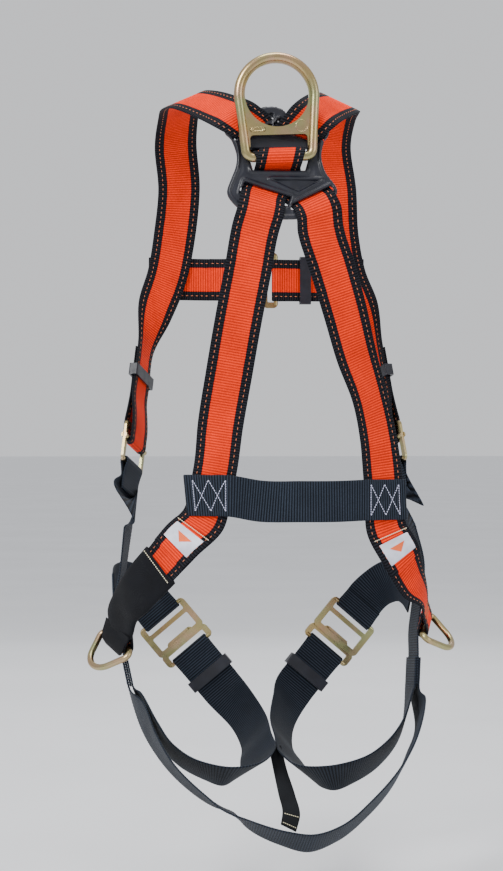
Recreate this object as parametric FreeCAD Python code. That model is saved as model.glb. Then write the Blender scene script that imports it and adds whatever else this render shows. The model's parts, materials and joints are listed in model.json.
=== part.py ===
import FreeCAD, Part
import math
import os

# Full-body fall-arrest harness, in the shape it keeps on its wearer.
# Millimetres. +X wearer's right, +Y wearer's front, +Z up.
# Origin: centre of the wearer's torso at the height of the lumbar strap.

# ---- wearer ----------------------------------------------------------------
# The straps' stations below are drawn for a torso of the DRAWN sizes and stretch to these.
DRAWN = (330.0, 240.0, 560.0)
TORSO_WIDTH = 330.0
TORSO_DEPTH = 240.0
TORSO_HEIGHT = 560.0     # crotch to shoulder

# ---- webbing ---------------------------------------------------------------
WEB_WIDTH = 45.0         # main, side, leg and seat webbing
WEB_THICK = 1.8
LUMBAR_WIDTH = 40.0
LINK_WIDTH = 18.0        # crotch link
LINK_THICK = 1.5
GAP = 0.3                # clearance between pieces that move against each other
LAYER = WEB_THICK + GAP  # pitch of two webbing layers

# ---- dorsal plate and ring ----------------------------------------------------
PLATE_ORIGIN = (1.0, -116.0, 328.0)
PLATE_LEAN = 9.0         # degrees the plate leans towards the wearer at its top
PLATE_THICK = 4.0
RING_BAR_R = 4.5
RING_EYE_R = 30.7
RING_EYE_HEIGHT = 59.6   # eye centre above the bottom bar
RING_TOP_R = 36.5        # centre-line radius of the ring's top
RING_FOOT_HALF = 32.0    # centre-line half width at the bottom corners
RING_FOOT_R = 7.5        # centre-line radius of the bottom corners
RING_WEB_THICK = 4.0
RING_WEB_EDGE = 21.2     # straight lower edge of the web above the bottom bar
RING_STANDOFF = 9.0      # bar centre in front of the plate's back face
RING_REST_LEAN = 7.0     # degrees the ring stands off the plate at rest
RING_TWIST = 2.5         # degrees the ring hangs askew in the plate's plane

# ---- hip rings --------------------------------------------------------------------
HIP_RING_BAR_R = 3.2
HIP_RING_INNER = 48.0    # clear length of the straight bar
HIP_RING_DEPTH = 34.0    # bar centre to the far end's centre
HIP_RING_TOP_R = 20.0
HIP_RING_FOOT_R = 6.0

# ---- metal stock and keepers ---------------------------------------------------------
FRAME_THICK = 2.6
BAR_R = 3.0              # adjuster's slider bar
MEMBER_R = 2.2           # round strap bars of the frames
LOOP_R = MEMBER_R + GAP + WEB_THICK / 2   # webbing's middle round a strap bar
KEEPER_LENGTH = 12.0
KEEPER_WALL = 2.0

# ---- plate windows and clearances --------------------------------------------------
CROSSBAR_LOW = 9.6       # lower edge of the bar above the window
BRIDGE_HIGH = -11.1      # lower edge of the window
WINDOW_HALF = 31.0       # half width of the window that the ring's bar hangs in
SLOT_ROOM = 0.4          # clearance of the webbing in the plate
PLATE_REACH = 10.0       # webbing this near the plate's back face is cleared
PLATE_SPAN = 72.0        # and this near its middle

# ---- side adjusters and sewn packets -----------------------------------------------
SLIDER_AT = 8.0          # height of the slider bar above the adjuster's origin
BOTTOM_BAR_AT = -16.0    # height of the bar that holds the side strap
TOP_BAR_AT = 21.0        # height of the frame's top rail
TAIL_LENGTH = 108.0      # free end above the slider bar
PACKET_REACH = 14.0      # half length of the sewn packet below each hip

# ---- stamped buckles ---------------------------------------------------------------
FRAME_HALF = 30.0        # half width of a buckle across the webbing
SLOT_HALF = 23.7         # half length of the slots that webbing passes
SLOT_CLEAR = 6.8         # width of the slot beside a strap bar
TONGUE_NECK_HALF = 17.0  # half width of the tongue's nose
HOOK_DROP = 5.2          # how far the tongue's hook reaches through the receiver
CATCH_GAP = 48.0         # strap bar to strap bar when fastened
TONGUE_LIFT = FRAME_THICK + 0.5  # tongue's plane above the receiver's
LEG_TAIL = 48.0          # free end folded back through the tongue
LEG_KEEPER_AT = 32.0     # keeper's middle from the tongue's bar

# ---- chest and lumbar straps -------------------------------------------------------
CHEST_HEIGHT = 232.0     # chest strap's middle above the lumbar strap
CHEST_Y = 118.0          # receiver's depth in front of the torso's centre
LUMBAR_LIFT = 3.1        # lumbar layer's middle to the main strap's middle
FOLD_REACH = 21.4        # middle of the main strap to the middle of the fold

# ---- sleeve, folds and labels ------------------------------------------------------
SLEEVE_WIDTH = 51.0
SLEEVE_THICK = 9.0
SLEEVE_WALL = 1.2        # cloth, lining and seam
FOLD_LENGTH = 34.0       # sewn fold that tears open in a fall
LABEL_ACROSS = 34.0
LABEL_ALONG = 20.0
LABEL_THICK = 0.6

STEP_LENGTH = 14.0       # longest stretch of webbing between two cross sections
SPAN_SECTIONS = 4        # cross sections to one face of the webbing


def vec(x, y, z):
    return FreeCAD.Vector(x, y, z)


def spot(x, y, z):
    """Place on the torso, drawn for the DRAWN sizes."""
    return vec(x * TORSO_WIDTH / DRAWN[0], y * TORSO_DEPTH / DRAWN[1], z * TORSO_HEIGHT / DRAWN[2])


def unit(v):
    return v * (1.0 / v.Length)


def facing(bearing, tilt):
    """Direction a face looks in: bearing 0 is backwards, 90 the wearer's right; tilt lifts it."""
    b = math.radians(bearing)
    t = math.radians(tilt)
    return vec(math.sin(b) * math.cos(t), -math.cos(b) * math.cos(t), math.sin(t))


def row(x, y, z, bearing, tilt, width=WEB_WIDTH):
    """One hand-placed station of a strap: its middle, the way its face looks, its width."""
    return {"p": spot(x, y, z), "n": facing(bearing, tilt), "width": width, "across": None}


class Frame:
    """Local axes: along (u), across (w) and out of the face (n), about an origin."""

    def __init__(self, origin, along, out):
        self.o = origin
        self.n = unit(out)
        self.u = unit(along - self.n * along.dot(self.n))
        self.w = self.n.cross(self.u)

    def point(self, u, n, w=0.0):
        return self.o + self.u * u + self.n * n + self.w * w

    def turned(self, degrees, about):
        """The same frame turned about a unit axis through its origin."""
        spin = FreeCAD.Rotation(about, degrees)
        return Frame(self.o, spin.multVec(self.u), spin.multVec(self.n))

    def place(self, shape):
        """Moves a shape drawn with x = u, y = w, z = n into the frame."""
        m = FreeCAD.Matrix(
            self.u.x, self.w.x, self.n.x, self.o.x,
            self.u.y, self.w.y, self.n.y, self.o.y,
            self.u.z, self.w.z, self.n.z, self.o.z,
            0, 0, 0, 1)
        moved = shape.copy()
        moved.Placement = FreeCAD.Placement(m).multiply(moved.Placement)
        return moved

    def station(self, u, n, width=WEB_WIDTH):
        """Strap station in the frame, its width along w."""
        return {"p": self.point(u, n), "n": self.n, "width": width, "across": self.w}


# ---- the webbing's own geometry ------------------------------------------------------
def slopes(values, times):
    """Slope at each value from the parabola through it and its neighbours."""
    last = len(values) - 1
    steps = [(values[i + 1] - values[i]) * (1.0 / (times[i + 1] - times[i])) for i in range(last)]
    out = []
    for i in range(last + 1):
        if i == 0:
            out.append(steps[0])
        elif i == last:
            out.append(steps[-1])
        else:
            before = times[i] - times[i - 1]
            after = times[i + 1] - times[i]
            out.append((steps[i - 1] * after + steps[i] * before) * (1.0 / (before + after)))
    return out


def blend(values, tangents, times, i, f):
    """Smooth value a share f of the way from station i to the next."""
    h = times[i + 1] - times[i]
    return (values[i] * (2 * f ** 3 - 3 * f ** 2 + 1) + tangents[i] * (h * (f ** 3 - 2 * f ** 2 + f))
            + values[i + 1] * (3 * f ** 2 - 2 * f ** 3) + tangents[i + 1] * (h * (f ** 3 - f ** 2)))


def sections(stations):
    """Dense cross sections along the strap: middle, half-width vector, normal."""
    points = [s["p"] for s in stations]
    times = [0.0]
    for a, b in zip(points, points[1:]):
        times.append(times[-1] + (b - a).Length)
    ways = slopes(points, times)
    halves = []
    for s, way in zip(stations, ways):
        side = unit(way.cross(s["n"]))
        if halves and side.dot(halves[-1]) < 0:
            side = side * -1.0
        if s["across"] is not None:
            side = s["across"] * (1.0 / s["across"].dot(side))
        halves.append(side * (s["width"] / 2))
    half_slopes = slopes(halves, times)
    out = []
    for i in range(len(points) - 1):
        steps = max(1, math.ceil((times[i + 1] - times[i]) / STEP_LENGTH))
        for k in range(steps):
            out.append((i, k / steps))
    out.append((len(points) - 2, 1.0))
    dense = []
    for i, f in out:
        p = blend(points, ways, times, i, f)
        half = blend(halves, half_slopes, times, i, f)
        ahead = blend(points, ways, times, i, min(f + 0.02, 1.0))
        behind = blend(points, ways, times, i, max(f - 0.02, 0.0))
        dense.append((p, half, unit(half.cross(unit(ahead - behind)))))
    return dense


def rails(dense, thick, offset=0.0, trim=0.0):
    """The four long edges of a strap's solid, cut into spans, and the corner points they pass."""
    corners = ((1, 1), (1, -1), (-1, -1), (-1, 1))
    lines = [[], [], [], []]
    times = [0.0]
    for i, (p, half, normal) in enumerate(dense):
        if i:
            times.append(times[-1] + (p - dense[i - 1][0]).Length)
        reach = half * (1.0 - trim / half.Length)
        for line, (side, face) in zip(lines, corners):
            line.append(p + reach * side + normal * (offset + face * thick / 2))
    cuts = times[:-1:SPAN_SECTIONS] + [times[-1]]
    edges = []
    for line in lines:
        curve = Part.BSplineCurve()
        curve.interpolate(Points=line, Parameters=times)
        spans = []
        for start, end in zip(cuts, cuts[1:]):
            span = curve.copy()
            span.segment(start, end)
            spans.append(span.toShape())
        edges.append(spans)
    return lines, edges


def skin(edges):
    """Ruled faces between each long edge and the next, span by span."""
    return [Part.makeRuledSurface(a, b, 1)
            for i in range(4) for a, b in zip(edges[i], edges[(i + 1) % 4])]


def closed_solid(faces):
    shell = Part.makeShell(faces)
    shell.sewShape()
    solid = Part.makeSolid(shell)
    if solid.Volume < 0:
        solid.reverse()
    return solid


def ribbon(dense, thick=WEB_THICK, offset=0.0):
    """Closed solid of flat webbing along its cross sections."""
    lines, edges = rails(dense, thick, offset)
    faces = skin(edges)
    for end in (0, -1):
        ring = [line[end] for line in lines]
        faces.append(Part.Face(Part.makePolygon(ring + ring[:1])))
    return closed_solid(faces)


def tube(dense, thick, wall):
    """Closed solid of a flattened, open-ended sleeve."""
    outer_lines, outer = rails(dense, thick)
    inner_lines, inner = rails(dense, thick - 2 * wall, trim=wall)
    faces = skin(outer) + skin(inner)
    for end in (0, -1):
        for i in range(4):
            j = (i + 1) % 4
            ring = [outer_lines[i][end], outer_lines[j][end], inner_lines[j][end], inner_lines[i][end]]
            faces.append(Part.Face(Part.makePolygon(ring + ring[:1])))
    return closed_solid(faces)


def strap(stations, thick=WEB_THICK):
    return ribbon(sections(stations), thick)


def piece_of(stations, near, length, width, thick, lift):
    """A patch that lies on a strap: from the strap's section nearest a point, on along it."""
    dense = sections(stations)
    run = [0.0]
    for a, b in zip(dense, dense[1:]):
        run.append(run[-1] + (b[0] - a[0]).Length)
    start = run[min(range(len(dense)), key=lambda k: (dense[k][0] - near).Length)]
    cuts = [start + length * k / 3 for k in range(4)]
    out = []
    for cut in cuts:
        i = max(k for k in range(len(run) - 1) if run[k] <= cut)
        f = (cut - run[i]) / (run[i + 1] - run[i])
        p = dense[i][0] * (1 - f) + dense[i + 1][0] * f
        half = dense[i][1] * (1 - f) + dense[i + 1][1] * f
        normal = unit(dense[i][2] * (1 - f) + dense[i + 1][2] * f)
        out.append((p, unit(half) * (width / 2), normal))
    return ribbon(out, thick, lift)


def loop_end(frame, radius, tail, tail_side=-1.0, width=WEB_WIDTH):
    """Stations of webbing folded round a bar at the frame's origin; the strap runs off along +u.

    The tail comes first and lies on the frame's tail_side, the run on the other."""
    half = LAYER / 2
    ease = radius * 2.4
    bulge = half + (radius - half) * 0.45
    out = [frame.station(tail, tail_side * half, width=width),
           frame.station(max(tail * 0.5, ease * 1.6), tail_side * half, width=width),
           frame.station(ease, tail_side * bulge, width=width)]
    for degrees in range(0, 181, 30):
        a = math.radians(degrees)
        out.append({"p": frame.point(-radius * math.sin(a), tail_side * radius * math.cos(a)),
                    "n": frame.n * math.cos(a) - frame.u * (tail_side * math.sin(a)),
                    "width": width, "across": frame.w})
    out.append(frame.station(ease, -tail_side * bulge, width=width))
    out.append(frame.station(max(tail * 0.5, ease * 1.6), -tail_side * half, width=width))
    out.append(frame.station(tail + 6.0, -tail_side * half, width=width))
    return out


# ---- drawing helpers for rigid parts -------------------------------------------------
def rounded_polygon(points, radius):
    """Closed planar wire through the points with every corner rounded."""
    count = len(points)
    edges = []
    starts = []
    for i in range(count):
        prev, here, after = points[i - 1], points[i], points[(i + 1) % count]
        a = unit(prev - here)
        b = unit(after - here)
        half = math.acos(max(-1.0, min(1.0, a.dot(b)))) / 2
        r = min(radius, 0.45 * min((prev - here).Length, (after - here).Length) * math.tan(half))
        back = r / math.tan(half)
        middle = here + unit(a + b) * (r / math.sin(half))
        first = here + a * back
        last = here + b * back
        top = middle + unit(here - middle) * r
        starts.append((first, top, last))
    for i in range(count):
        first, top, last = starts[i]
        edges.append(Part.Arc(first, top, last).toShape())
        edges.append(Part.makeLine(last, starts[(i + 1) % count][0]))
    return Part.Wire(edges)


def slab(wire, low, high):
    face = Part.Face(wire)
    face.translate(vec(0, 0, low))
    return face.extrude(vec(0, 0, high - low))


def box_wire(u0, u1, w0, w1, radius):
    corners = [vec(u0, w0, 0), vec(u1, w0, 0), vec(u1, w1, 0), vec(u0, w1, 0)]
    return rounded_polygon(corners, radius)


def pipe(wire, radius):
    """Round bar along a closed smooth wire."""
    start = wire.Edges[0]
    where = start.valueAt(start.FirstParameter)
    way = start.tangentAt(start.FirstParameter)
    profile = Part.Wire(Part.makeCircle(radius, where, way))
    return wire.makePipeShell([profile], True, False)


def outer_tangent(c1, r1, c2, r2):
    """Points where a line touches the right-hand sides of two circles."""
    d = c1 - c2
    base = math.atan2(d.y, d.x)
    turn = math.acos((r2 - r1) / d.Length)
    normal = vec(math.cos(base - turn), math.sin(base - turn), 0)
    return c1 + normal * r1, c2 + normal * r2


def ring_path(top_r, top_height, foot_half, foot_r):
    """Closed D outline: a half-round top, tapering legs, rounded feet, a straight bar at y = 0."""
    top = vec(0, top_height, 0)
    foot = vec(foot_half - foot_r, foot_r, 0)
    high, low = outer_tangent(top, top_r, foot, foot_r)
    slant = math.atan2(low.y - foot.y, low.x - foot.x)
    mid = (slant - math.pi / 2) / 2
    knee = foot + vec(math.cos(mid), math.sin(mid), 0) * foot_r
    base = vec(foot.x, 0, 0)

    def left(p):
        return vec(-p.x, p.y, 0)

    return Part.Wire([
        Part.makeLine(left(base), base),
        Part.Arc(base, knee, low).toShape(),
        Part.makeLine(low, high),
        Part.Arc(high, vec(0, top_height + top_r, 0), left(high)).toShape(),
        Part.makeLine(left(high), left(low)),
        Part.Arc(left(low), left(knee), left(base)).toShape()])


# ---- dorsal plate ----------------------------------------------------------------
LEAN = math.radians(PLATE_LEAN)
PLATE_UP = vec(0, math.sin(LEAN), math.cos(LEAN))
PLATE_OUT = vec(0, -math.cos(LEAN), math.sin(LEAN))
PLATE_SIDE = vec(1, 0, 0)
# u runs up the plate, w towards the wearer's left, n out of its face
PLATE = Frame(spot(*PLATE_ORIGIN), PLATE_UP, PLATE_OUT)

PLATE_OUTLINE = [
    (-52.0, 29.0), (-50.0, 35.0), (-44.0, 36.5), (-32.0, 43.0), (-20.0, 50.0), (-11.0, 51.8),
    (-3.5, 52.0), (4.0, 49.5), (9.0, 45.5), (22.0, 44.0), (36.0, 37.5), (43.0, 35.8), (48.5, 31.0),
    (48.5, 24.5), (43.5, 16.0), (41.0, 2.0), (45.0, -13.0), (53.5, -25.0), (55.5, -32.0),
    (51.5, -41.0), (40.0, -50.5), (22.0, -58.0), (-4.0, -59.0), (-24.0, -56.0), (-38.0, -49.5),
    (-47.0, -40.5), (-50.0, -32.0), (-46.0, -20.0), (-41.5, -8.0), (-40.5, 4.0), (-45.0, 18.0),
    (-50.5, 24.0)]
TOP_LEFT_SLOT = [(-39.0, 21.0), (-10.5, 40.5), (-15.0, 46.0), (-43.0, 28.0)]
TOP_RIGHT_SLOT = [(-3.0, 30.5), (37.5, 15.5), (40.5, 23.0), (0.0, 38.5)]
LOW_LEFT_SLOT = [(-35.5, -22.5), (10.5, -37.6), (7.5, -46.5), (-39.5, -32.5)]
LOW_RIGHT_SLOT = [(12.4, -45.3), (50.0, -26.6), (47.5, -36.5), (16.5, -51.5)]
WINDOW = [(-WINDOW_HALF, BRIDGE_HIGH), (WINDOW_HALF, BRIDGE_HIGH),
          (WINDOW_HALF, CROSSBAR_LOW), (-WINDOW_HALF, CROSSBAR_LOW)]
BRIDGE_RECESS = [(-8.0, -20.5), (40.0, -20.5), (18.0, -32.5)]
KNOB_HOLES = [(-6.5, 44.0), (-8.5, 32.5)]


def plate_draw(points):
    """Plate outline points, given as across and up, in the plate frame's own x and y."""
    return [vec(up, -across, 0) for across, up in points]


def strap_rooms(route):
    """The webbing's own path wherever it comes near the plate, with clearance all round."""
    runs = [[]]
    for p, half, normal in sections(route):
        if abs((p - PLATE.o).dot(PLATE.n)) < PLATE_REACH and (p - PLATE.o).Length < PLATE_SPAN:
            runs[-1].append((p, half * (1.0 + SLOT_ROOM / half.Length), normal))
        elif runs[-1]:
            runs.append([])
    return [ribbon(run, WEB_THICK + 2 * SLOT_ROOM) for run in runs if len(run) > 1]


def dorsal_plate(webbing):
    """Moulded plate; webbing lists the routes that pass through its slots."""
    curve = Part.BSplineCurve()
    curve.interpolate(plate_draw(PLATE_OUTLINE), PeriodicFlag=True)
    body = slab(Part.Wire(curve.toShape()), 0, PLATE_THICK)
    for slot in (TOP_LEFT_SLOT, TOP_RIGHT_SLOT, LOW_LEFT_SLOT, LOW_RIGHT_SLOT, WINDOW):
        body = body.cut(slab(rounded_polygon(plate_draw(slot), 2.0), -1, PLATE_THICK + 1))
    recess = rounded_polygon(plate_draw(BRIDGE_RECESS), 2.5)
    body = body.cut(slab(recess, PLATE_THICK - 1.2, PLATE_THICK + 1))
    for across, up in KNOB_HOLES:
        body = body.cut(Part.makeCylinder(1.6, PLATE_THICK + 2, vec(up, -across, -1)))
    placed = PLATE.place(body)
    for route in webbing:
        for room in strap_rooms(route):
            placed = placed.cut(room)
    return placed


# ---- dorsal ring -------------------------------------------------------------------
def dorsal_ring_frame():
    """Drawn with x up the ring and y to the wearer's left, about the bottom bar's middle."""
    seat = Frame(PLATE.point(0, RING_STANDOFF), PLATE.u, PLATE.n)
    askew = seat.turned(RING_TWIST, seat.n)
    return askew.turned(-RING_REST_LEAN, askew.w)


def stand(shape):
    """Turns a drawing whose y is up into a frame whose x is up."""
    turned = shape.copy()
    turned.Placement = FreeCAD.Placement(vec(0, 0, 0), FreeCAD.Rotation(vec(0, 0, 1), -90))
    return turned


def dorsal_ring():
    path = ring_path(RING_TOP_R, RING_EYE_HEIGHT, RING_FOOT_HALF, RING_FOOT_R)
    bar = pipe(path, RING_BAR_R)
    web = slab(Part.Wire(path.Edges), -RING_WEB_THICK / 2, RING_WEB_THICK / 2)
    window = box_wire(-RING_FOOT_HALF + RING_BAR_R, RING_FOOT_HALF - RING_BAR_R, -20, RING_WEB_EDGE, 3.5)
    web = web.cut(slab(window, -5, 5))
    below = Part.makeBox(200, 40, 20, vec(-100, -30, -10))
    web = web.cut(below)
    eye = Part.makeCylinder(RING_EYE_R, 20, vec(0, RING_EYE_HEIGHT, -10))
    bar = bar.cut(Part.makeCylinder(RING_EYE_R, 20, vec(0, RING_EYE_HEIGHT, -10)))
    solid = bar.fuse(web.cut(eye)).removeSplitter()
    front = RING_WEB_THICK / 2
    mark = Part.makeCylinder(6.0, 1, vec(22.5, 29.0, front - 0.3)).cut(
        Part.makeCylinder(5.4, 1, vec(22.5, 29.0, front - 0.3)))
    oval = slab(box_wire(-27.5, -12.0, 24.2, 29.0, 2.3), front - 0.3, front + 1)
    solid = solid.cut(mark).cut(oval)
    return dorsal_ring_frame().place(stand(solid))


# ---- webbing through the plate --------------------------------------------------------
def plate_station(across, up, out, slant=0.0, width=WEB_WIDTH):
    """Webbing station in the plate; slant is the angle of its width to the horizontal."""
    a = math.radians(slant)
    ruling = PLATE_SIDE * math.cos(a) + PLATE_UP * math.sin(a)
    return {"p": PLATE.point(up, out, -across), "n": PLATE_OUT, "width": width, "across": ruling}


def over_ring_bar(middle, lean, layer, width):
    """Webbing from behind the crossbar, over the ring's bottom bar, to behind the bridge.

    middle and lean give its place across the plate at height v as middle + lean * v.
    layer 0 lies on the bar and layer 1 on layer 0."""
    r = RING_BAR_R + GAP + WEB_THICK / 2 + layer * LAYER
    deep = -LAYER * (2.3 - 1.3 * layer)
    route = [(16.0, deep), (12.2, deep)]
    route += [(9.4, -1.6), (8.3, 0.8)] if layer else [(8.4, -3.7), (6.3, -0.8)]
    route.append((r, RING_STANDOFF - 4.5))
    for degrees in range(0, 181, 30):
        a = math.radians(degrees)
        route.append((r * math.cos(a), RING_STANDOFF + r * math.sin(a)))
    route.append((-r, RING_STANDOFF - 4.5))
    route += [(-8.8, 1.2), (-10.6, -1.3)] if layer else [(-6.9, 0.4), (-9.2, -3.0)]
    route += [(-13.6, deep), (-18.0, deep)]
    rise = math.tan(math.radians(RING_TWIST))
    out = []
    for v, d in route:
        across = middle + lean * v
        out.append(plate_station(across, v + across * rise, d, RING_TWIST, width))
    return out


SHOULDER_X = {-1: -87.0, 1: 72.0}


def front_rows(side):
    """Main strap from the side adjuster up the chest and over the shoulder."""
    crest = SHOULDER_X[side]
    return [
        row(side * 110, 91, 196, side * 150, 4),
        row(side * 96, 106, 236, side * 165, 4),
        row(side * 88, 108, 280, side * 175, 12),
        row(side * 84, 97, 326, side * 172, 26),
        row(crest + side * 2, 68, 368, side * 165, 48),
        row(crest + side, 24, 394, side * 130, 66),
        row(crest, -22, 399, side * 90, 66)]


def adjuster_frame(side):
    """Bottom strap bar's middle is 16 below the origin; the slider bar 8 above it."""
    return Frame(spot(side * 134, 42, 48), vec(-side * 0.12, 0.30, 0.95), facing(side * 112, 0))


def through_adjuster(side):
    """Main strap's tail, its turn round the slider bar, and its run up behind the frame."""
    f = adjuster_frame(side)
    r = BAR_R + GAP + WEB_THICK / 2
    front = [(TAIL_LENGTH, LAYER), (80.0, LAYER), (56.0, LAYER), (40.0, 3.2), (26.0, r + 0.3), (14.0, r)]
    out = [f.station(u, n) for u, n in front]
    for degrees in range(0, 181, 30):
        a = math.radians(degrees)
        out.append({"p": f.point(SLIDER_AT - r * math.sin(a), r * math.cos(a)),
                    "n": f.n * math.cos(a) - f.u * math.sin(a), "width": WEB_WIDTH, "across": f.w})
    back = [(14.0, -r), (26.0, -r), (40.0, -2.6), (56.0, 0.0), (80.0, 0.0), (TAIL_LENGTH + 6, 0.0)]
    return out + [f.station(u, n) for u, n in back]


def main_strap_left_shoulder():
    """Left adjuster, left shoulder, plate, right hip."""
    route = through_adjuster(-1) + front_rows(-1)
    back = [
        row(-78, -62, 394, -55, 62),
        row(-58, -93, 382, -25, 46),
        plate_station(-40.0, 40.5, 6.0, 31.0, 42.0),
        plate_station(-26.5, 31.8, 3.2, 33.0, 38.0),
        plate_station(-15.0, 23.5, -4.4, 20.0, 38.0)]
    back += over_ring_bar(-2.6, -0.35, 0, 40.0)
    back += [
        plate_station(18.5, -27.0, -4.6, 14.0, 40.0),
        plate_station(28.0, -35.0, -1.0, 24.0, 42.0),
        plate_station(33.5, -42.5, 4.4, 26.0, 43.0),
        plate_station(37.0, -52.0, 5.6, 20.0)]
    back += [
        row(40, -127, 262, 3, 0), row(52, -121, 226, 8, -4), row(66, -112, 183, 14, -8),
        row(78, -102, 143, 24, -9), row(92, -90, 105, 36, -8), row(102, -82, 66, 30, -3),
        row(107, -79, 30, 24, 0), row(109, -79, 2, 24, 0), row(111, -79, -26, 20, 4),
        row(125, -78, -52, 20, 8), row(140, -66, -80, 40, 6)]
    return route + back + hip_loop(1)


def main_strap_right_shoulder():
    """Right adjuster, right shoulder, plate, left hip."""
    route = through_adjuster(1) + front_rows(1)
    back = [
        row(66, -62, 393, 52, 60),
        row(51, -93, 384, 24, 44),
        plate_station(33.0, 41.0, 6.6, -24.0, 44.0),
        plate_station(21.5, 29.0, 3.2, -20.0, 42.0),
        plate_station(14.5, 21.5, -1.5, -12.0, 43.0)]
    back += over_ring_bar(0.8, 0.25, 1, 43.0)
    back += [
        plate_station(-11.0, -26.5, -1.9, -12.0, 44.0),
        plate_station(-15.0, -34.5, 0.8, -17.0, 44.0),
        plate_station(-16.5, -42.0, 5.0, -17.0, 44.0),
        plate_station(-18.5, -52.0, 5.8, -12.0)]
    back += [
        row(-22, -128, 262, -2, 0), row(-29, -122, 222, -5, -4), row(-38, -114, 172, -7, -8),
        row(-46, -104, 122, -9, -9), row(-53.5, -96, 74, -16, -5), row(-58, -94, 34, -24, 0),
        row(-63.5, -93.4, 6, -25, 0), row(-69, -91.2, -16, -22, 1), row(-91, -93, -38, -26, 10),
        row(-112, -90, -62, -36, 12), row(-133, -79, -87, -46, 10)]
    return route + back + hip_loop(-1)


# ---- hips -------------------------------------------------------------------------------
HIP = {
    -1: {"at": (-151, -46, -139), "up": (0.14, -0.30, 0.94), "bearing": -62, "drop": 45.0},
    1: {"at": (157, -37, -126), "up": (-0.12, -0.30, 0.95), "bearing": 74, "drop": 50.0}}


def hip_frame(side):
    """Middle of the hip ring's bar; +u runs back up the main strap."""
    h = HIP[side]
    return Frame(spot(*h["at"]), vec(*h["up"]), facing(h["bearing"], 0))


def hip_loop(side):
    """End of the main strap: round the hip ring's bar and back inside itself."""
    loop = loop_end(hip_frame(side), HIP_RING_BAR_R + GAP + WEB_THICK / 2, 18.0)
    return loop[::-1]


def hip_ring_frame(side):
    """The ring hangs down from its bar and stands off the hip."""
    h = hip_frame(side)
    down = Frame(h.o, h.u * -1.0, h.n)
    return down.turned(-HIP[side]["drop"], down.w)


def hip_ring(side):
    half = HIP_RING_INNER / 2 + HIP_RING_BAR_R
    path = ring_path(HIP_RING_TOP_R, HIP_RING_DEPTH - HIP_RING_TOP_R, half, HIP_RING_FOOT_R)
    return hip_ring_frame(side).place(stand(pipe(path, HIP_RING_BAR_R)))


# ---- side, leg and seat webbing -----------------------------------------------------------


def packet_frame(side):
    """Middle of the packet where leg, side and seat straps are sewn together; +u runs down."""
    if side < 0:
        return Frame(spot(-141, -15, -174), vec(0.24, -0.15, -0.96), facing(-90, -12))
    return Frame(spot(149, -13, -176), vec(-0.05, -0.12, -0.99), facing(92, -4))


def in_packet(side, layer):
    """Stations down through the packet: layer -1 lies against the wearer, 1 outermost."""
    f = packet_frame(side)
    return [f.station(share * PACKET_REACH, layer * LAYER) for share in (-1.0, -0.6, 0.6, 1.0)]


def side_rows(side):
    """Side strap from the adjuster's bottom bar to the end of the hip's sewn packet."""
    if side < 0:
        return [
            row(-136, 26, -2, -106, 0), row(-141, 15, -36, -100, 2), row(-146, 5, -75, -98, 4),
            row(-152, -4, -110, -94, 0), row(-149, -9, -138, -92, -6)]
    return [
        row(141, 26, -2, 106, 2), row(151, 16, -36, 98, 5), row(159, 6, -72, 94, 3),
        row(155, -3, -105, 92, -6), row(150.4, -8, -136, 92, -5)]


def side_strap(side):
    f = adjuster_frame(side)
    bar = Frame(f.point(BOTTOM_BAR_AT, 0), f.u * -1.0, f.n)
    loop = loop_end(bar, LOOP_R, 30.0)
    return strap(loop + side_rows(side) + in_packet(side, 0))


LEG = {
    -1: [
        (-127, -28, -202, -76, -28), (-113, -44, -229, -48, -44),
        (-94, -64, -250, -25, -52), (-70, -80, -262, -10, -56), (-46, -87, -267, 4, -57),
        (-28, -76, -265, 30, -60), (-14, -50, -258, 62, -58), (-12, -14, -250, 84, -44),
        (-11, 24, -240, 104, -30), (-20, 56, -224, 136, -10)],
    1: [
        (143, -24, -203, 78, -22), (132, -44, -229, 48, -40),
        (108, -66, -252, 24, -46), (82, -82, -264, 8, -48), (55, -88, -270, -6, -48),
        (37, -76, -270, -30, -54), (25, -50, -262, -62, -56), (21, -14, -253, -84, -44),
        (18, 24, -242, -104, -30), (24, 56, -225, -136, -10)]}


def leg_buckle_frame(side):
    """Middle of the tongue's strap bar; +u runs down the leg strap."""
    return Frame(spot(side * 72, 90, -164), vec(-side * 0.64, -0.10, -0.76), facing(side * -171, 0))


def leg_strap(side):
    """Hip packet, under the buttock, round the crotch, up the thigh to the buckle."""
    rows = [row(*r) for r in LEG[side]]
    loop = loop_end(leg_buckle_frame(side), LOOP_R, LEG_TAIL, 1.0)
    return strap(in_packet(side, -1) + rows + loop[::-1])


SEAT = [
    (-128, -34, -212, -68, -22), (-113, -58, -241, -58, -35),
    (-92, -88, -266, -45, -50), (-64, -112, -286, -30, -64), (-48, -121, -294, -14, -76),
    (-30, -127, -305, -6, -69), (4, -134, -318, 2, -62), (30, -135, -323, 8, -57),
    (58, -130, -315, 20, -58), (90, -118, -293, 50, -46), (118, -98, -268, 78, -24),
    (139, -70, -240, 84, -20), (151.5, -42, -214, 86, -12)]


def seat_strap():
    return strap(in_packet(-1, 1) + [row(*r) for r in SEAT] + in_packet(1, 1)[::-1])


def crotch_link():
    """Light elastic strap from the leg straps' crossing to the seat strap."""
    return strap([
        row(5, -40, -246, 8, 44, LINK_WIDTH - 5), row(8, -62, -266, 12, 46, LINK_WIDTH - 4),
        row(12, -88, -286, 16, 50, LINK_WIDTH - 1), row(14, -108, -300, 22, 46, LINK_WIDTH),
        row(10, -121, -311, 34, 40, LINK_WIDTH - 1)], LINK_THICK)


# ---- lumbar strap --------------------------------------------------------------------------
LUMBAR_MIDDLE = [(-14, -99.5, 0.5, 0, 0), (24, -100, 0, 0, 0), (58, -98.5, 0, 8, 0)]


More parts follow.
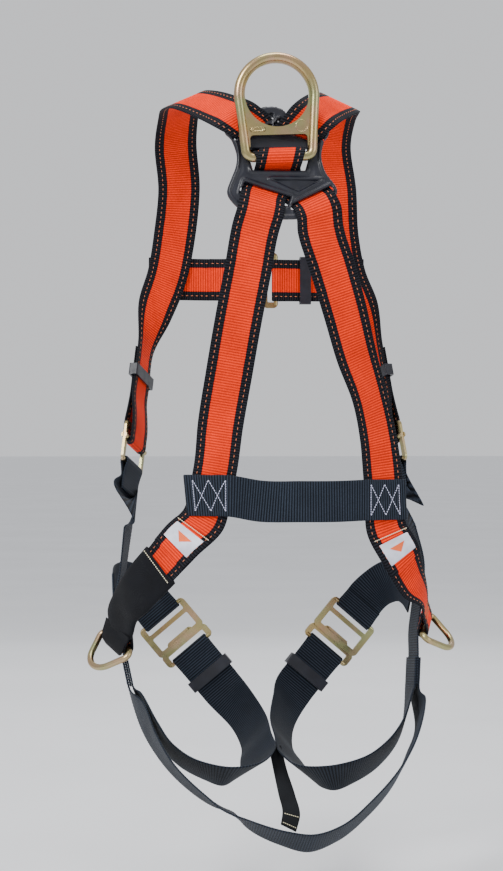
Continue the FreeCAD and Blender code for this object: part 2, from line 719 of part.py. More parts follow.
def lumbar_fold(origin, bearing, side, lean):
    """The lumbar strap's end: behind the main strap, round its outer edge and over its face.

    lean tips the fold to run along the main strap."""
    out = facing(bearing, 0)
    outer = vec(0, 0, 1).cross(out) * side
    f = Frame(spot(*origin), outer, out)
    run = [(-19.0, -LUMBAR_LIFT), (0.0, -LUMBAR_LIFT), (19.0, -LUMBAR_LIFT)]
    stations = [f.station(u, n, LUMBAR_WIDTH) for u, n in run]
    for degrees in range(-90, 91, 30):
        a = math.radians(degrees)
        stations.append({"p": f.point(FOLD_REACH + LUMBAR_LIFT * math.cos(a), LUMBAR_LIFT * math.sin(a)),
                         "n": f.n * math.sin(a) + f.u * math.cos(a),
                         "width": LUMBAR_WIDTH, "across": f.w})
    stations += [f.station(u, -n, LUMBAR_WIDTH) for u, n in reversed(run)]
    for s in stations[1:-1]:
        s["across"] = FreeCAD.Rotation(out, lean).multVec(f.w)
    return stations


def lumbar_strap():
    """Level strap whose ends fold round the two main straps."""
    left = lumbar_fold((-63.5, -93.4, 6.0), -25, -1, 6.0)
    right = lumbar_fold((109.0, -79.0, 1.0), 24, 1, 3.0)
    middle = [row(*r, LUMBAR_WIDTH) for r in LUMBAR_MIDDLE]
    return strap(left + middle + right[::-1])


# ---- stamped buckles ------------------------------------------------------------------------


def strap_bar(at):
    """Round member that webbing folds round, across the frame."""
    return Part.makeCylinder(MEMBER_R, 2 * FRAME_HALF - 6, vec(at, -FRAME_HALF + 3, 0), vec(0, 1, 0))


def stamped(u0, u1, windows, half=FRAME_HALF):
    """Flat plate with rounded windows, each given as from, to and half length."""
    body = slab(box_wire(u0, u1, -half, half, 5.0), -FRAME_THICK / 2, FRAME_THICK / 2)
    for a, b, w in windows:
        body = body.cut(slab(box_wire(a, b, -w, w, 1.5), -FRAME_THICK, FRAME_THICK))
    return body


def side_adjuster_frame(side):
    low = BOTTOM_BAR_AT - MEMBER_R
    body = stamped(low - 0.4, TOP_BAR_AT + 3.5, [(low - 5, TOP_BAR_AT - 3.0, SLOT_HALF)])
    body = body.fuse(strap_bar(BOTTOM_BAR_AT)).removeSplitter()
    return adjuster_frame(side).place(body)


def side_adjuster_bar(side):
    """Slider bar whose forked ends straddle the frame's rails."""
    reach = FRAME_HALF + 1.2
    bar = Part.makeCylinder(BAR_R, 2 * reach, vec(SLIDER_AT, -reach, 0), vec(0, 1, 0))
    for low in (-reach - 1, SLOT_HALF - 0.5):
        fork = Part.makeBox(4 * BAR_R, reach + 1 - (SLOT_HALF - 0.5), FRAME_THICK + 0.2,
                            vec(SLIDER_AT - 2 * BAR_R, low, -FRAME_THICK / 2 - 0.1))
        bar = bar.cut(fork)
    return adjuster_frame(side).place(bar)


def buckle_receiver(frame):
    """Frame with a strap bar at u = 0 and a catch window beyond it."""
    body = stamped(-36.0, MEMBER_R, [(-MEMBER_R - SLOT_CLEAR, MEMBER_R + 3, SLOT_HALF),
                                     (-30.0, -14.0, SLOT_HALF)])
    return frame.place(body.fuse(strap_bar(0)).removeSplitter())


def buckle_tongue(frame):
    """Plate with a strap bar at u = 0 and a nose whose hook drops through the catch window."""
    hook_at = -(CATCH_GAP - 30.0) - FRAME_THICK / 2 - 0.3
    body = stamped(-MEMBER_R - SLOT_CLEAR - 5.0, MEMBER_R,
                   [(-MEMBER_R - SLOT_CLEAR, MEMBER_R + 3, SLOT_HALF)])
    nose = stamped(hook_at - FRAME_THICK / 2, -MEMBER_R - SLOT_CLEAR - 1.0, [], TONGUE_NECK_HALF)
    hook = Part.makeBox(FRAME_THICK, 2 * TONGUE_NECK_HALF - 8, HOOK_DROP,
                        vec(hook_at - FRAME_THICK / 2, -TONGUE_NECK_HALF + 4, -HOOK_DROP))
    return frame.place(body.fuse([nose, hook, strap_bar(0)]).removeSplitter())


def keeper(frame, at, low, high):
    """Plastic loop round two layers of webbing whose faces lie between low and high."""
    u0, u1 = at - KEEPER_LENGTH / 2, at + KEEPER_LENGTH / 2
    w = WEB_WIDTH / 2 + 1.2
    low, high = low - 0.9, high + 0.9
    k = KEEPER_WALL
    outer = Part.makeBox(u1 - u0, 2 * (w + k), high - low + 2 * k, vec(u0, -w - k, low - k))
    outer = outer.makeFillet(1.5, [e for e in outer.Edges if abs(e.Length - (u1 - u0)) < 1e-6])
    inner = Part.makeBox(u1 - u0 + 2, 2 * w, high - low, vec(u0 - 1, -w, low))
    return frame.place(outer.cut(inner))


# ---- chest --------------------------------------------------------------------------------


def chest_receiver_frame():
    """Strap bar's middle; +u runs to the wearer's left."""
    return Frame(spot(-26, CHEST_Y, CHEST_HEIGHT), vec(-1, 0, 0), vec(0, 1, 0))


def chest_tongue_frame():
    """Strap bar's middle; +u runs to the wearer's right."""
    receiver = chest_receiver_frame()
    return Frame(receiver.point(-CATCH_GAP, TONGUE_LIFT), receiver.u * -1.0, receiver.n)


def chest_strap(side):
    """From the face of the shoulder strap to the buckle."""
    if side < 0:
        stations = loop_end(chest_receiver_frame(), LOOP_R, 24.0)
    else:
        stations = loop_end(chest_tongue_frame(), LOOP_R, 46.0, 1.0)
    return strap(stations + [
        row(side * 80, 115.3, 232, side * 172, 2), row(side * 97, 111.5, 232, side * 163, 2),
        row(side * 116, 105.6, 232, side * 158, 2)])


# ---- leg buckles ----------------------------------------------------------------------------
def leg_receiver_frame(side):
    """The receiver lies on the tongue's line, one buckle's length up towards the hip."""
    f = leg_buckle_frame(side)
    return Frame(f.point(-CATCH_GAP, -TONGUE_LIFT), f.u * -1.0, f.n)


LEG_STUB = {-1: [(-139, 76, -92, -146, 4), (-152, 42, -91, -112, 2), (-155, 14, -98, -98, 0)],
            1: [(137, 76, -92, 146, 4), (150, 42, -91, 112, -2), (152.6, 14, -98, 98, -7)]}


def leg_buckle_strap(side):
    """Short strap from the hip to the receiver."""
    return strap(loop_end(leg_receiver_frame(side), LOOP_R, 18.0) + [
        row(*r) for r in LEG_STUB[side]])


# ---- sleeve, folds and labels -------------------------------------------------------------
# the flap's stations: up from the ring's bar, out from it, width
SLEEVE_FLAP = [(15.0, 3.7, 49.0), (11.0, 4.1, 49.0), (5.0, 5.9, 46.0), (0.0, 6.6, 45.0),
               (-5.0, 6.3, 41.0), (-8.5, 4.8, 30.0)]


def label_sleeve():
    """Fabric tube over the end of the left-hip strap, and its flap over the hip ring's bar."""
    f = hip_frame(-1)
    sleeve = tube(sections([
        row(-111, -90.5, -61, -36, 12, SLEEVE_WIDTH), row(-133, -79, -87, -46, 10, SLEEVE_WIDTH),
        f.station(25.0, LAYER / 2, SLEEVE_WIDTH), f.station(12.0, 0.0, SLEEVE_WIDTH)]),
        SLEEVE_THICK, SLEEVE_WALL)
    flap = ribbon(sections([f.station(*s) for s in SLEEVE_FLAP]), SLEEVE_WALL)
    return solid_of(sleeve.fuse(flap))


def solid_of(shape):
    """The one solid that a boolean result holds."""
    return shape if shape.ShapeType == "Solid" else shape.Solids[0]


def nodes():
    left, right = main_strap_left_shoulder(), main_strap_right_shoulder()
    out = {
        "dorsal_plate": dorsal_plate([left, right]),
        "dorsal_d_ring": dorsal_ring(),
        "main_strap_left_shoulder": strap(left),
        "main_strap_right_shoulder": strap(right),
        "lumbar_cross_strap": lumbar_strap(),
        "seat_strap": seat_strap(),
        "crotch_link": crotch_link(),
        "chest_strap_left": chest_strap(-1),
        "chest_strap_right": chest_strap(1),
        "chest_buckle_receiver": buckle_receiver(chest_receiver_frame()),
        "chest_buckle_tongue": buckle_tongue(chest_tongue_frame()),
        "chest_strap_keeper": keeper(chest_tongue_frame(), 32.0,
                                     -(LAYER + WEB_THICK) / 2, (LAYER + WEB_THICK) / 2)}
    for side, name in ((-1, "left"), (1, "right")):
        out["side_strap_" + name] = side_strap(side)
        out["leg_strap_" + name] = leg_strap(side)
        out["hip_d_ring_" + name] = hip_ring(side)
        out["side_adjuster_frame_" + name] = side_adjuster_frame(side)
        out["side_adjuster_bar_" + name] = side_adjuster_bar(side)
        out["side_tail_keeper_" + name] = keeper(adjuster_frame(side), 82.0, -WEB_THICK / 2,
                                                 LAYER + WEB_THICK / 2)
        out["leg_buckle_tongue_" + name] = buckle_tongue(leg_buckle_frame(side))
        out["leg_buckle_receiver_" + name] = buckle_receiver(leg_receiver_frame(side))
        out["leg_buckle_strap_" + name] = leg_buckle_strap(side)
        out["leg_tail_keeper_" + name] = keeper(leg_buckle_frame(side), LEG_KEEPER_AT,
                                                -(LAYER + WEB_THICK) / 2, (LAYER + WEB_THICK) / 2)
    lift = LAYER + (WEB_THICK + LABEL_THICK) / 2 + 0.15
    for name, route, at in (("left", right, spot(-80, -94, -26)), ("right", left, spot(116, -79, -32))):
        out["fall_indicator_fold_" + name] = piece_of(
            route, at, FOLD_LENGTH, WEB_WIDTH - 1, WEB_THICK, -LAYER)
        out["fall_indicator_label_" + name] = piece_of(
            route, at + vec(0, 0, -6), LABEL_ALONG, LABEL_ACROSS, LABEL_THICK, -lift)
    out["label_sleeve"] = label_sleeve()
    return {name: solid_of(shape) for name, shape in out.items()}


os.makedirs("parts", exist_ok=True)
for name, shape in nodes().items():
    shape.exportStep("parts/" + name + ".step")
    print(name, shape.ShapeType, shape.isValid(), round(shape.Volume, 1))
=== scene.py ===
import json
import math

import bpy
import numpy as np
from mathutils import Matrix, Vector

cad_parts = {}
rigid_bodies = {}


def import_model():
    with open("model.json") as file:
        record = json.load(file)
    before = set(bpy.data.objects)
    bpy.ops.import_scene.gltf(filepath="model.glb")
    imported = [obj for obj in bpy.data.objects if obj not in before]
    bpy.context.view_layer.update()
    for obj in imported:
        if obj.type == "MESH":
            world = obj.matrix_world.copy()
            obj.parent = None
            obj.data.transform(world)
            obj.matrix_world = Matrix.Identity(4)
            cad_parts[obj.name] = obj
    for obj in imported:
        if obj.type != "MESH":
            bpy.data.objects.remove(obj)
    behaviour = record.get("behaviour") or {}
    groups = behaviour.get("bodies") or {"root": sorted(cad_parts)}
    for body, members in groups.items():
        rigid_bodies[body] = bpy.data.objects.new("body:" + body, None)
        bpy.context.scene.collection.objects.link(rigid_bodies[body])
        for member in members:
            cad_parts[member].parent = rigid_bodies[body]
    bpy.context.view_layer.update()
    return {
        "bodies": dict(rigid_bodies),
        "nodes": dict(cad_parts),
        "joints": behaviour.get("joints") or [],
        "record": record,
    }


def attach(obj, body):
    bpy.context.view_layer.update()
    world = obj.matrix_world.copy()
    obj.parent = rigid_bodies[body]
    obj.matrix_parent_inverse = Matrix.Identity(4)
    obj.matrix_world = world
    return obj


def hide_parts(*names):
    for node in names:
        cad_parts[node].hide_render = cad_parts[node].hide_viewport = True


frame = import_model()

# The webbing is laid out in millimetres; mesh_piece() turns every mesh to metres.
MM = 0.001
SIDES = ((-1, "left"), (1, "right"))
HALF_TURN = [math.radians(degrees) for degrees in range(0, 181, 30)]

# ---- sizes shared with the frame ----
WEB_WIDTH = 45.0
WEB_THICK = 1.8
LUMBAR_WIDTH = 40.0
GAP = 0.3
LAYER = WEB_THICK + GAP
BAR_R = 3.0
MEMBER_R = 2.2
LOOP_R = MEMBER_R + GAP + WEB_THICK / 2
HIP_RING_BAR_R = 3.2
FRAME_THICK = 2.6
CATCH_GAP = 48.0
TONGUE_LIFT = FRAME_THICK + 0.5
LEG_TAIL = 48.0

PLATE_ORIGIN = (1.0, -116.0, 328.0)
PLATE_LEAN = 9.0
PLATE_THICK = 4.0
RING_BAR_R = 4.5
RING_STANDOFF = 9.0
RING_TWIST = 2.5

# ---- the weave ----
RIB = 2.6                # pitch of the ribs across the webbing
RIB_HEIGHT = 0.3
STITCH_PITCH = 5.4
STITCH_LENGTH = 3.4
BOX_TURNS = 2            # zigzags of a stitch box
BOX_HALF = 16.5          # half length of a stitch box
BOX_REACH = 15.0
ROW_REACH = 17.0         # zigzags of the grey straps, to each side
YARN = 0.75              # pitch of the yarns along the webbing
CENTRE_SHARE = 0.57      # orange centre's share of the width
SEAM_SHARE = 0.775       # where the edge bands' stitch lines run


# ---- vectors and frames ----
def vec(x, y, z):
    return np.array([x, y, z], float)


def unit(v):
    return v / np.linalg.norm(v)


def turn(v, about, degrees):
    return np.array(Matrix.Rotation(math.radians(degrees), 3, Vector(about)) @ Vector(v))


def facing(bearing, tilt):
    """Direction a face looks in: bearing 0 is backwards, 90 the wearer's right; tilt lifts it."""
    b = math.radians(bearing)
    t = math.radians(tilt)
    return vec(math.sin(b) * math.cos(t), -math.cos(b) * math.cos(t), math.sin(t))


def row(x, y, z, bearing, tilt, width=WEB_WIDTH):
    """One station of a strap: its middle, the way its face looks, its width."""
    return {"p": vec(x, y, z), "n": facing(bearing, tilt), "width": width, "across": None}


class Frame:
    """Local axes: along (u), across (w) and out of the face (n), about an origin."""

    def __init__(self, origin, along, out):
        self.o = origin
        self.n = unit(out)
        self.u = unit(along - self.n * np.dot(along, self.n))
        self.w = np.cross(self.n, self.u)

    def point(self, u, n, w=0.0):
        return self.o + self.u * u + self.n * n + self.w * w

    def station(self, u, n, width=WEB_WIDTH):
        """Strap station in the frame, its width along w."""
        return {"p": self.point(u, n), "n": self.n, "width": width, "across": self.w}


# ---- the webbing's own geometry ----
def slopes(values, times):
    """Slope at each value from the parabola through it and its neighbours."""
    last = len(values) - 1
    steps = [(values[i + 1] - values[i]) / (times[i + 1] - times[i]) for i in range(last)]
    out = [steps[0]]
    for i in range(1, last):
        before = times[i] - times[i - 1]
        after = times[i + 1] - times[i]
        out.append((steps[i - 1] * after + steps[i] * before) / (before + after))
    return out + [steps[-1]]


def blend(values, tangents, times, i, f):
    """Smooth value a share f of the way from station i to the next."""
    h = times[i + 1] - times[i]
    return (values[i] * (2 * f ** 3 - 3 * f ** 2 + 1)
            + tangents[i] * (h * (f ** 3 - 2 * f ** 2 + f))
            + values[i + 1] * (3 * f ** 2 - 2 * f ** 3)
            + tangents[i + 1] * (h * (f ** 3 - f ** 2)))


class Strap:
    """Flat webbing: middle line, half-width vectors and normals at an even pitch along it."""

    def __init__(self, stations, thick=WEB_THICK, pitch=RIB / 2):
        points = [s["p"] for s in stations]
        times = [0.0]
        for a, b in zip(points, points[1:]):
            times.append(times[-1] + np.linalg.norm(b - a))
        ways = slopes(points, times)
        halves = []
        for s, way in zip(stations, ways):
            side = unit(np.cross(way, s["n"]))
            if halves and np.dot(side, halves[-1]) < 0:
                side = -side
            if s["across"] is not None:
                side = s["across"] / np.dot(s["across"], side)
            halves.append(side * (s["width"] / 2))
        half_slopes = slopes(halves, times)
        middle, half = [], []
        for i in range(len(points) - 1):
            steps = max(2, math.ceil(times[i + 1] - times[i]))
            for k in range(steps + (i == len(points) - 2)):
                middle.append(blend(points, ways, times, i, k / steps))
                half.append(blend(halves, half_slopes, times, i, k / steps))
        self.fill(np.array(middle), np.array(half), thick, pitch)

    def fill(self, middle, half, thick, pitch):
        """Evens out the spacing and works out the normals."""
        run = np.concatenate([[0.0], np.cumsum(np.linalg.norm(np.diff(middle, axis=0), axis=1))])
        count = max(2, int(round(run[-1] / pitch)))
        self.s = np.linspace(0.0, run[-1], count + 1)
        self.p = np.stack([np.interp(self.s, run, middle[:, k]) for k in range(3)], axis=1)
        self.half = np.stack([np.interp(self.s, run, half[:, k]) for k in range(3)], axis=1)
        way = np.gradient(self.p, axis=0)
        normal = np.cross(self.half, way)
        self.n = normal / np.linalg.norm(normal, axis=1)[:, None]
        self.thick = thick
        self.length = run[-1]

    def at(self, s, across, lift):
        """Point on the strap: distance along, distance across, height off its middle plane."""
        p, half, n = (np.array([np.interp(s, self.s, a[:, k]) for k in range(3)])
                      for a in (self.p, self.half, self.n))
        return p + unit(half) * across + unit(n) * lift

    def nearest(self, point):
        return self.s[np.argmin(np.linalg.norm(self.p - point, axis=1))]

    def part(self, spots, width, thick, pitch=RIB / 2):
        """Another strap through spots on this one, each a distance along and a lift."""
        middle = np.array([self.at(s, 0.0, lift) for s, lift in spots])
        half = np.array([self.at(s, width / 2, lift) for s, lift in spots]) - middle
        out = Strap.__new__(Strap)
        out.fill(middle, half, thick, pitch)
        return out


# ---- the webbing's routes ----
LEAN = math.radians(PLATE_LEAN)
PLATE_UP = vec(0, math.sin(LEAN), math.cos(LEAN))
PLATE_OUT = vec(0, -math.cos(LEAN), math.sin(LEAN))
PLATE_SIDE = vec(1, 0, 0)
PLATE = Frame(vec(*PLATE_ORIGIN), PLATE_UP, PLATE_OUT)


def loop_end(frame, radius, tail, tail_side=-1.0, width=WEB_WIDTH):
    """Stations of webbing folded round a bar at the frame's origin; the strap runs off along +u.

    The tail comes first and lies on the frame's tail_side, the run on the other."""
    half = LAYER / 2
    ease = radius * 2.4
    bulge = half + (radius - half) * 0.45
    out = [frame.station(tail, tail_side * half, width=width),
           frame.station(max(tail * 0.5, ease * 1.6), tail_side * half, width=width),
           frame.station(ease, tail_side * bulge, width=width)]
    for a in HALF_TURN:
        out.append({"p": frame.point(-radius * math.sin(a), tail_side * radius * math.cos(a)),
                    "n": frame.n * math.cos(a) - frame.u * (tail_side * math.sin(a)),
                    "width": width, "across": frame.w})
    out.append(frame.station(ease, -tail_side * bulge, width=width))
    out.append(frame.station(max(tail * 0.5, ease * 1.6), -tail_side * half, width=width))
    out.append(frame.station(tail + 6.0, -tail_side * half, width=width))
    return out


def plate_station(across, up, out, slant=0.0, width=WEB_WIDTH):
    """Webbing station in the plate; slant is the angle of its width to the horizontal."""
    a = math.radians(slant)
    ruling = PLATE_SIDE * math.cos(a) + PLATE_UP * math.sin(a)
    return {"p": PLATE.point(up, out, -across), "n": PLATE_OUT, "width": width, "across": ruling}


def over_ring_bar(middle, lean, layer, width):
    """Webbing from behind the crossbar, over the ring's bottom bar, to behind the bridge.

    middle and lean give its place across the plate at height v as middle + lean * v.
    layer 0 lies on the bar and layer 1 on layer 0."""
    r = RING_BAR_R + GAP + WEB_THICK / 2 + layer * LAYER
    deep = -LAYER * (2.3 - 1.3 * layer)
    route = [(16.0, deep), (12.2, deep)]
    route += [(9.4, -1.6), (8.3, 0.8)] if layer else [(8.4, -3.7), (6.3, -0.8)]
    route.append((r, RING_STANDOFF - 4.5))
    for a in HALF_TURN:
        route.append((r * math.cos(a), RING_STANDOFF + r * math.sin(a)))
    route.append((-r, RING_STANDOFF - 4.5))
    route += [(-8.8, 1.2), (-10.6, -1.3)] if layer else [(-6.9, 0.4), (-9.2, -3.0)]
    route += [(-13.6, deep), (-18.0, deep)]
    rise = math.tan(math.radians(RING_TWIST))
    out = []
    for v, d in route:
        across = middle + lean * v
        out.append(plate_station(across, v + across * rise, d, RING_TWIST, width))
    return out


SHOULDER_X = {-1: -87.0, 1: 72.0}


def front_rows(side):
    """Main strap from the side adjuster up the chest and over the shoulder."""
    crest = SHOULDER_X[side]
    return [
        row(side * 110, 91, 196, side * 150, 4),
        row(side * 96, 106, 236, side * 165, 4),
        row(side * 88, 108, 280, side * 175, 12),
        row(side * 84, 97, 326, side * 172, 26),
        row(crest + side * 2, 68, 368, side * 165, 48),
        row(crest + side, 24, 394, side * 130, 66),
        row(crest, -22, 399, side * 90, 66)]


def adjuster_frame(side):
    """Bottom strap bar's middle is 16 below the origin; the slider bar 8 above it."""
    return Frame(vec(side * 134, 42, 48), vec(-side * 0.12, 0.30, 0.95), facing(side * 112, 0))


SLIDER_AT = 8.0
BOTTOM_BAR_AT = -16.0
TAIL_LENGTH = 108.0


def through_adjuster(side):
    """Main strap's tail, its turn round the slider bar, and its run up behind the frame."""
    f = adjuster_frame(side)
    r = BAR_R + GAP + WEB_THICK / 2
    front = [(TAIL_LENGTH, LAYER), (80.0, LAYER), (56.0, LAYER), (40.0, 3.2),
             (26.0, r + 0.3), (14.0, r)]
    out = [f.station(u, n) for u, n in front]
    for a in HALF_TURN:
        out.append({"p": f.point(SLIDER_AT - r * math.sin(a), r * math.cos(a)),
                    "n": f.n * math.cos(a) - f.u * math.sin(a), "width": WEB_WIDTH, "across": f.w})
    back = [(14.0, -r), (26.0, -r), (40.0, -2.6), (56.0, 0.0), (80.0, 0.0), (TAIL_LENGTH + 6, 0.0)]
    return out + [f.station(u, n) for u, n in back]


def main_strap_left_shoulder():
    """Left adjuster, left shoulder, plate, right hip."""
    route = through_adjuster(-1) + front_rows(-1)
    back = [
        row(-78, -62, 394, -55, 62),
        row(-58, -93, 382, -25, 46),
        plate_station(-40.0, 40.5, 6.0, 31.0, 42.0),
        plate_station(-26.5, 31.8, 3.2, 33.0, 38.0),
        plate_station(-15.0, 23.5, -4.4, 20.0, 38.0)]
    back += over_ring_bar(-2.6, -0.35, 0, 40.0)
    back += [
        plate_station(18.5, -27.0, -4.6, 14.0, 40.0),
        plate_station(28.0, -35.0, -1.0, 24.0, 42.0),
        plate_station(33.5, -42.5, 4.4, 26.0, 43.0),
        plate_station(37.0, -52.0, 5.6, 20.0)]
    back += [
        row(40, -127, 262, 3, 0), row(52, -121, 226, 8, -4), row(66, -112, 183, 14, -8),
        row(78, -102, 143, 24, -9), row(92, -90, 105, 36, -8), row(102, -82, 66, 30, -3),
        row(107, -79, 30, 24, 0), row(109, -79, 2, 24, 0), row(111, -79, -26, 20, 4),
        row(125, -78, -52, 20, 8), row(140, -66, -80, 40, 6)]
    return route + back + hip_loop(1)


def main_strap_right_shoulder():
    """Right adjuster, right shoulder, plate, left hip."""
    route = through_adjuster(1) + front_rows(1)
    back = [
        row(66, -62, 393, 52, 60),
        row(51, -93, 384, 24, 44),
        plate_station(33.0, 41.0, 6.6, -24.0, 44.0),
        plate_station(21.5, 29.0, 3.2, -20.0, 42.0),
        plate_station(14.5, 21.5, -1.5, -12.0, 43.0)]
    back += over_ring_bar(0.8, 0.25, 1, 43.0)
    back += [
        plate_station(-11.0, -26.5, -1.9, -12.0, 44.0),
        plate_station(-15.0, -34.5, 0.8, -17.0, 44.0),
        plate_station(-16.5, -42.0, 5.0, -17.0, 44.0),
        plate_station(-18.5, -52.0, 5.8, -12.0)]
    back += [
        row(-22, -128, 262, -2, 0), row(-29, -122, 222, -5, -4), row(-38, -114, 172, -7, -8),
        row(-46, -104, 122, -9, -9), row(-53.5, -96, 74, -16, -5), row(-58, -94, 34, -24, 0),
        row(-63.5, -93.4, 6, -25, 0), row(-69, -91.2, -16, -22, 1), row(-91, -93, -38, -26, 10),
        row(-112, -90, -62, -36, 12), row(-133, -79, -87, -46, 10)]
    return route + back + hip_loop(-1)


HIP = {
    -1: {"at": (-151, -46, -139), "up": (0.14, -0.30, 0.94), "bearing": -62, "drop": 45.0},
    1: {"at": (157, -37, -126), "up": (-0.12, -0.30, 0.95), "bearing": 74, "drop": 50.0}}


def hip_frame(side):
    """Middle of the hip ring's bar; +u runs back up the main strap."""
    h = HIP[side]
    return Frame(vec(*h["at"]), vec(*h["up"]), facing(h["bearing"], 0))


def hip_loop(side):
    """End of the main strap: round the hip ring's bar and back inside itself."""
    loop = loop_end(hip_frame(side), HIP_RING_BAR_R + GAP + WEB_THICK / 2, 18.0)
    return loop[::-1]


PACKET_REACH = 14.0      # half length of the sewn packet below each hip


def packet_frame(side):
    """Middle of the packet where leg, side and seat straps are sewn together; +u runs down."""
    if side < 0:
        return Frame(vec(-141, -15, -174), vec(0.24, -0.15, -0.96), facing(-90, -12))
    return Frame(vec(149, -13, -176), vec(-0.05, -0.12, -0.99), facing(92, -4))


def in_packet(side, layer):
    """Stations down through the packet: layer -1 lies against the wearer, 1 outermost."""
    f = packet_frame(side)
    return [f.station(share * PACKET_REACH, layer * LAYER) for share in (-1.0, -0.6, 0.6, 1.0)]


def side_rows(side):
    """Side strap from the adjuster's bottom bar to the end of the hip's sewn packet."""
    if side < 0:
        return [
            row(-136, 26, -2, -106, 0), row(-141, 15, -36, -100, 2), row(-146, 5, -75, -98, 4),
            row(-152, -4, -110, -94, 0), row(-149, -9, -138, -92, -6)]
    return [
        row(141, 26, -2, 106, 2), row(151, 16, -36, 98, 5), row(159, 6, -72, 94, 3),
        row(155, -3, -105, 92, -6), row(150.4, -8, -136, 92, -5)]


LEG = {
    -1: [
        (-127, -28, -202, -76, -28), (-113, -44, -229, -48, -44),
        (-94, -64, -250, -25, -52), (-70, -80, -262, -10, -56), (-46, -87, -267, 4, -57),
        (-28, -76, -265, 30, -60), (-14, -50, -258, 62, -58), (-12, -14, -250, 84, -44),
        (-11, 24, -240, 104, -30), (-20, 56, -224, 136, -10)],
    1: [
        (143, -24, -203, 78, -22), (132, -44, -229, 48, -40),
        (108, -66, -252, 24, -46), (82, -82, -264, 8, -48), (55, -88, -270, -6, -48),
        (37, -76, -270, -30, -54), (25, -50, -262, -62, -56), (21, -14, -253, -84, -44),
        (18, 24, -242, -104, -30), (24, 56, -225, -136, -10)]}


def leg_buckle_frame(side):
    """Middle of the tongue's strap bar; +u runs down the leg strap."""
    return Frame(vec(side * 72, 90, -164), vec(-side * 0.64, -0.10, -0.76), facing(side * -171, 0))


SEAT = [
    (-128, -34, -212, -68, -22), (-113, -58, -241, -58, -35),
    (-92, -88, -266, -45, -50), (-64, -112, -286, -30, -64), (-48, -121, -294, -14, -76),
    (-30, -127, -305, -6, -69), (4, -134, -318, 2, -62), (30, -135, -323, 8, -57),
    (58, -130, -315, 20, -58), (90, -118, -293, 50, -46), (118, -98, -268, 78, -24),
    (139, -70, -240, 84, -20), (151.5, -42, -214, 86, -12)]


LUMBAR_LIFT = 3.1        # lumbar layer's middle to the main strap's middle
FOLD_REACH = 21.4        # middle of the main strap to the middle of the fold
LUMBAR_MIDDLE = [(-14, -99.5, 0.5, 0, 0), (24, -100, 0, 0, 0), (58, -98.5, 0, 8, 0)]


def lumbar_fold(origin, bearing, side, lean):
    """The lumbar strap's end: behind the main strap, round its outer edge and over its face.

    lean tips the fold to run along the main strap."""
    out = facing(bearing, 0)
    outer = np.cross(vec(0, 0, 1), out) * side
    f = Frame(vec(*origin), outer, out)
    run = [(-19.0, -LUMBAR_LIFT), (0.0, -LUMBAR_LIFT), (19.0, -LUMBAR_LIFT)]
    stations = [f.station(u, n, LUMBAR_WIDTH) for u, n in run]
    for degrees in range(-90, 91, 30):
        a = math.radians(degrees)
        stations.append({"p": f.point(FOLD_REACH + LUMBAR_LIFT * math.cos(a),
                                      LUMBAR_LIFT * math.sin(a)),
                         "n": f.n * math.sin(a) + f.u * math.cos(a),
                         "width": LUMBAR_WIDTH, "across": f.w})
    stations += [f.station(u, -n, LUMBAR_WIDTH) for u, n in reversed(run)]
    for s in stations[1:-1]:
        s["across"] = turn(f.w, out, lean)
    return stations


CHEST_HEIGHT = 232.0
CHEST_Y = 118.0


def chest_receiver_frame():
    """Strap bar's middle; +u runs to the wearer's left."""
    return Frame(vec(-26, CHEST_Y, CHEST_HEIGHT), vec(-1, 0, 0), vec(0, 1, 0))


def chest_tongue_frame():
    """Strap bar's middle; +u runs to the wearer's right."""
    receiver = chest_receiver_frame()
    return Frame(receiver.point(-CATCH_GAP, TONGUE_LIFT), receiver.u * -1.0, receiver.n)


def leg_receiver_frame(side):
    """The receiver lies on the tongue's line, one buckle's length up towards the hip."""
    f = leg_buckle_frame(side)
    return Frame(f.point(-CATCH_GAP, -TONGUE_LIFT), f.u * -1.0, f.n)


LEG_STUB = {-1: [(-139, 76, -92, -146, 4), (-152, 42, -91, -112, 2), (-155, 14, -98, -98, 0)],
            1: [(137, 76, -92, 146, 4), (150, 42, -91, 112, -2), (152.6, 14, -98, 98, -7)]}


# ---- meshes ----
def mesh_piece(name, points, faces, uvs=None, smooth=True):
    """Object from points in millimetres; uvs has one pair of millimetres for each point."""
    mesh = bpy.data.meshes.new(name)
    mesh.from_pydata((np.asarray(points) * MM).tolist(), [], faces)
    mesh.validate()
    if uvs is not None:
        layer = mesh.uv_layers.new(name="weave")
        index = np.zeros(len(mesh.loops), np.int32)
        mesh.loops.foreach_get("vertex_index", index)
        layer.data.foreach_set("uv", (np.asarray(uvs, float)[index] * MM).ravel())
    mesh.polygons.foreach_set("use_smooth", [smooth] * len(mesh.polygons))
    piece = bpy.data.objects.new(name, mesh)
    bpy.context.scene.collection.objects.link(piece)
    return piece


def dress(piece, material, body="harness", stands_for=()):
    piece.data.materials.append(material)
    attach(piece, body)
    if stands_for:
        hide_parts(*stands_for)
    return piece


# half of webbing's outline: share of the half width, share of the half thickness
EDGE = ((-1.0, 0.0), (-0.99, 0.55), (-0.965, 0.9), (-0.93, 1.0))
COLUMNS = EDGE + ((-0.57, 1.0), (-0.2, 1.0), (0.2, 1.0), (0.57, 1.0)) + tuple(
    (-a, z) for a, z in reversed(EDGE))


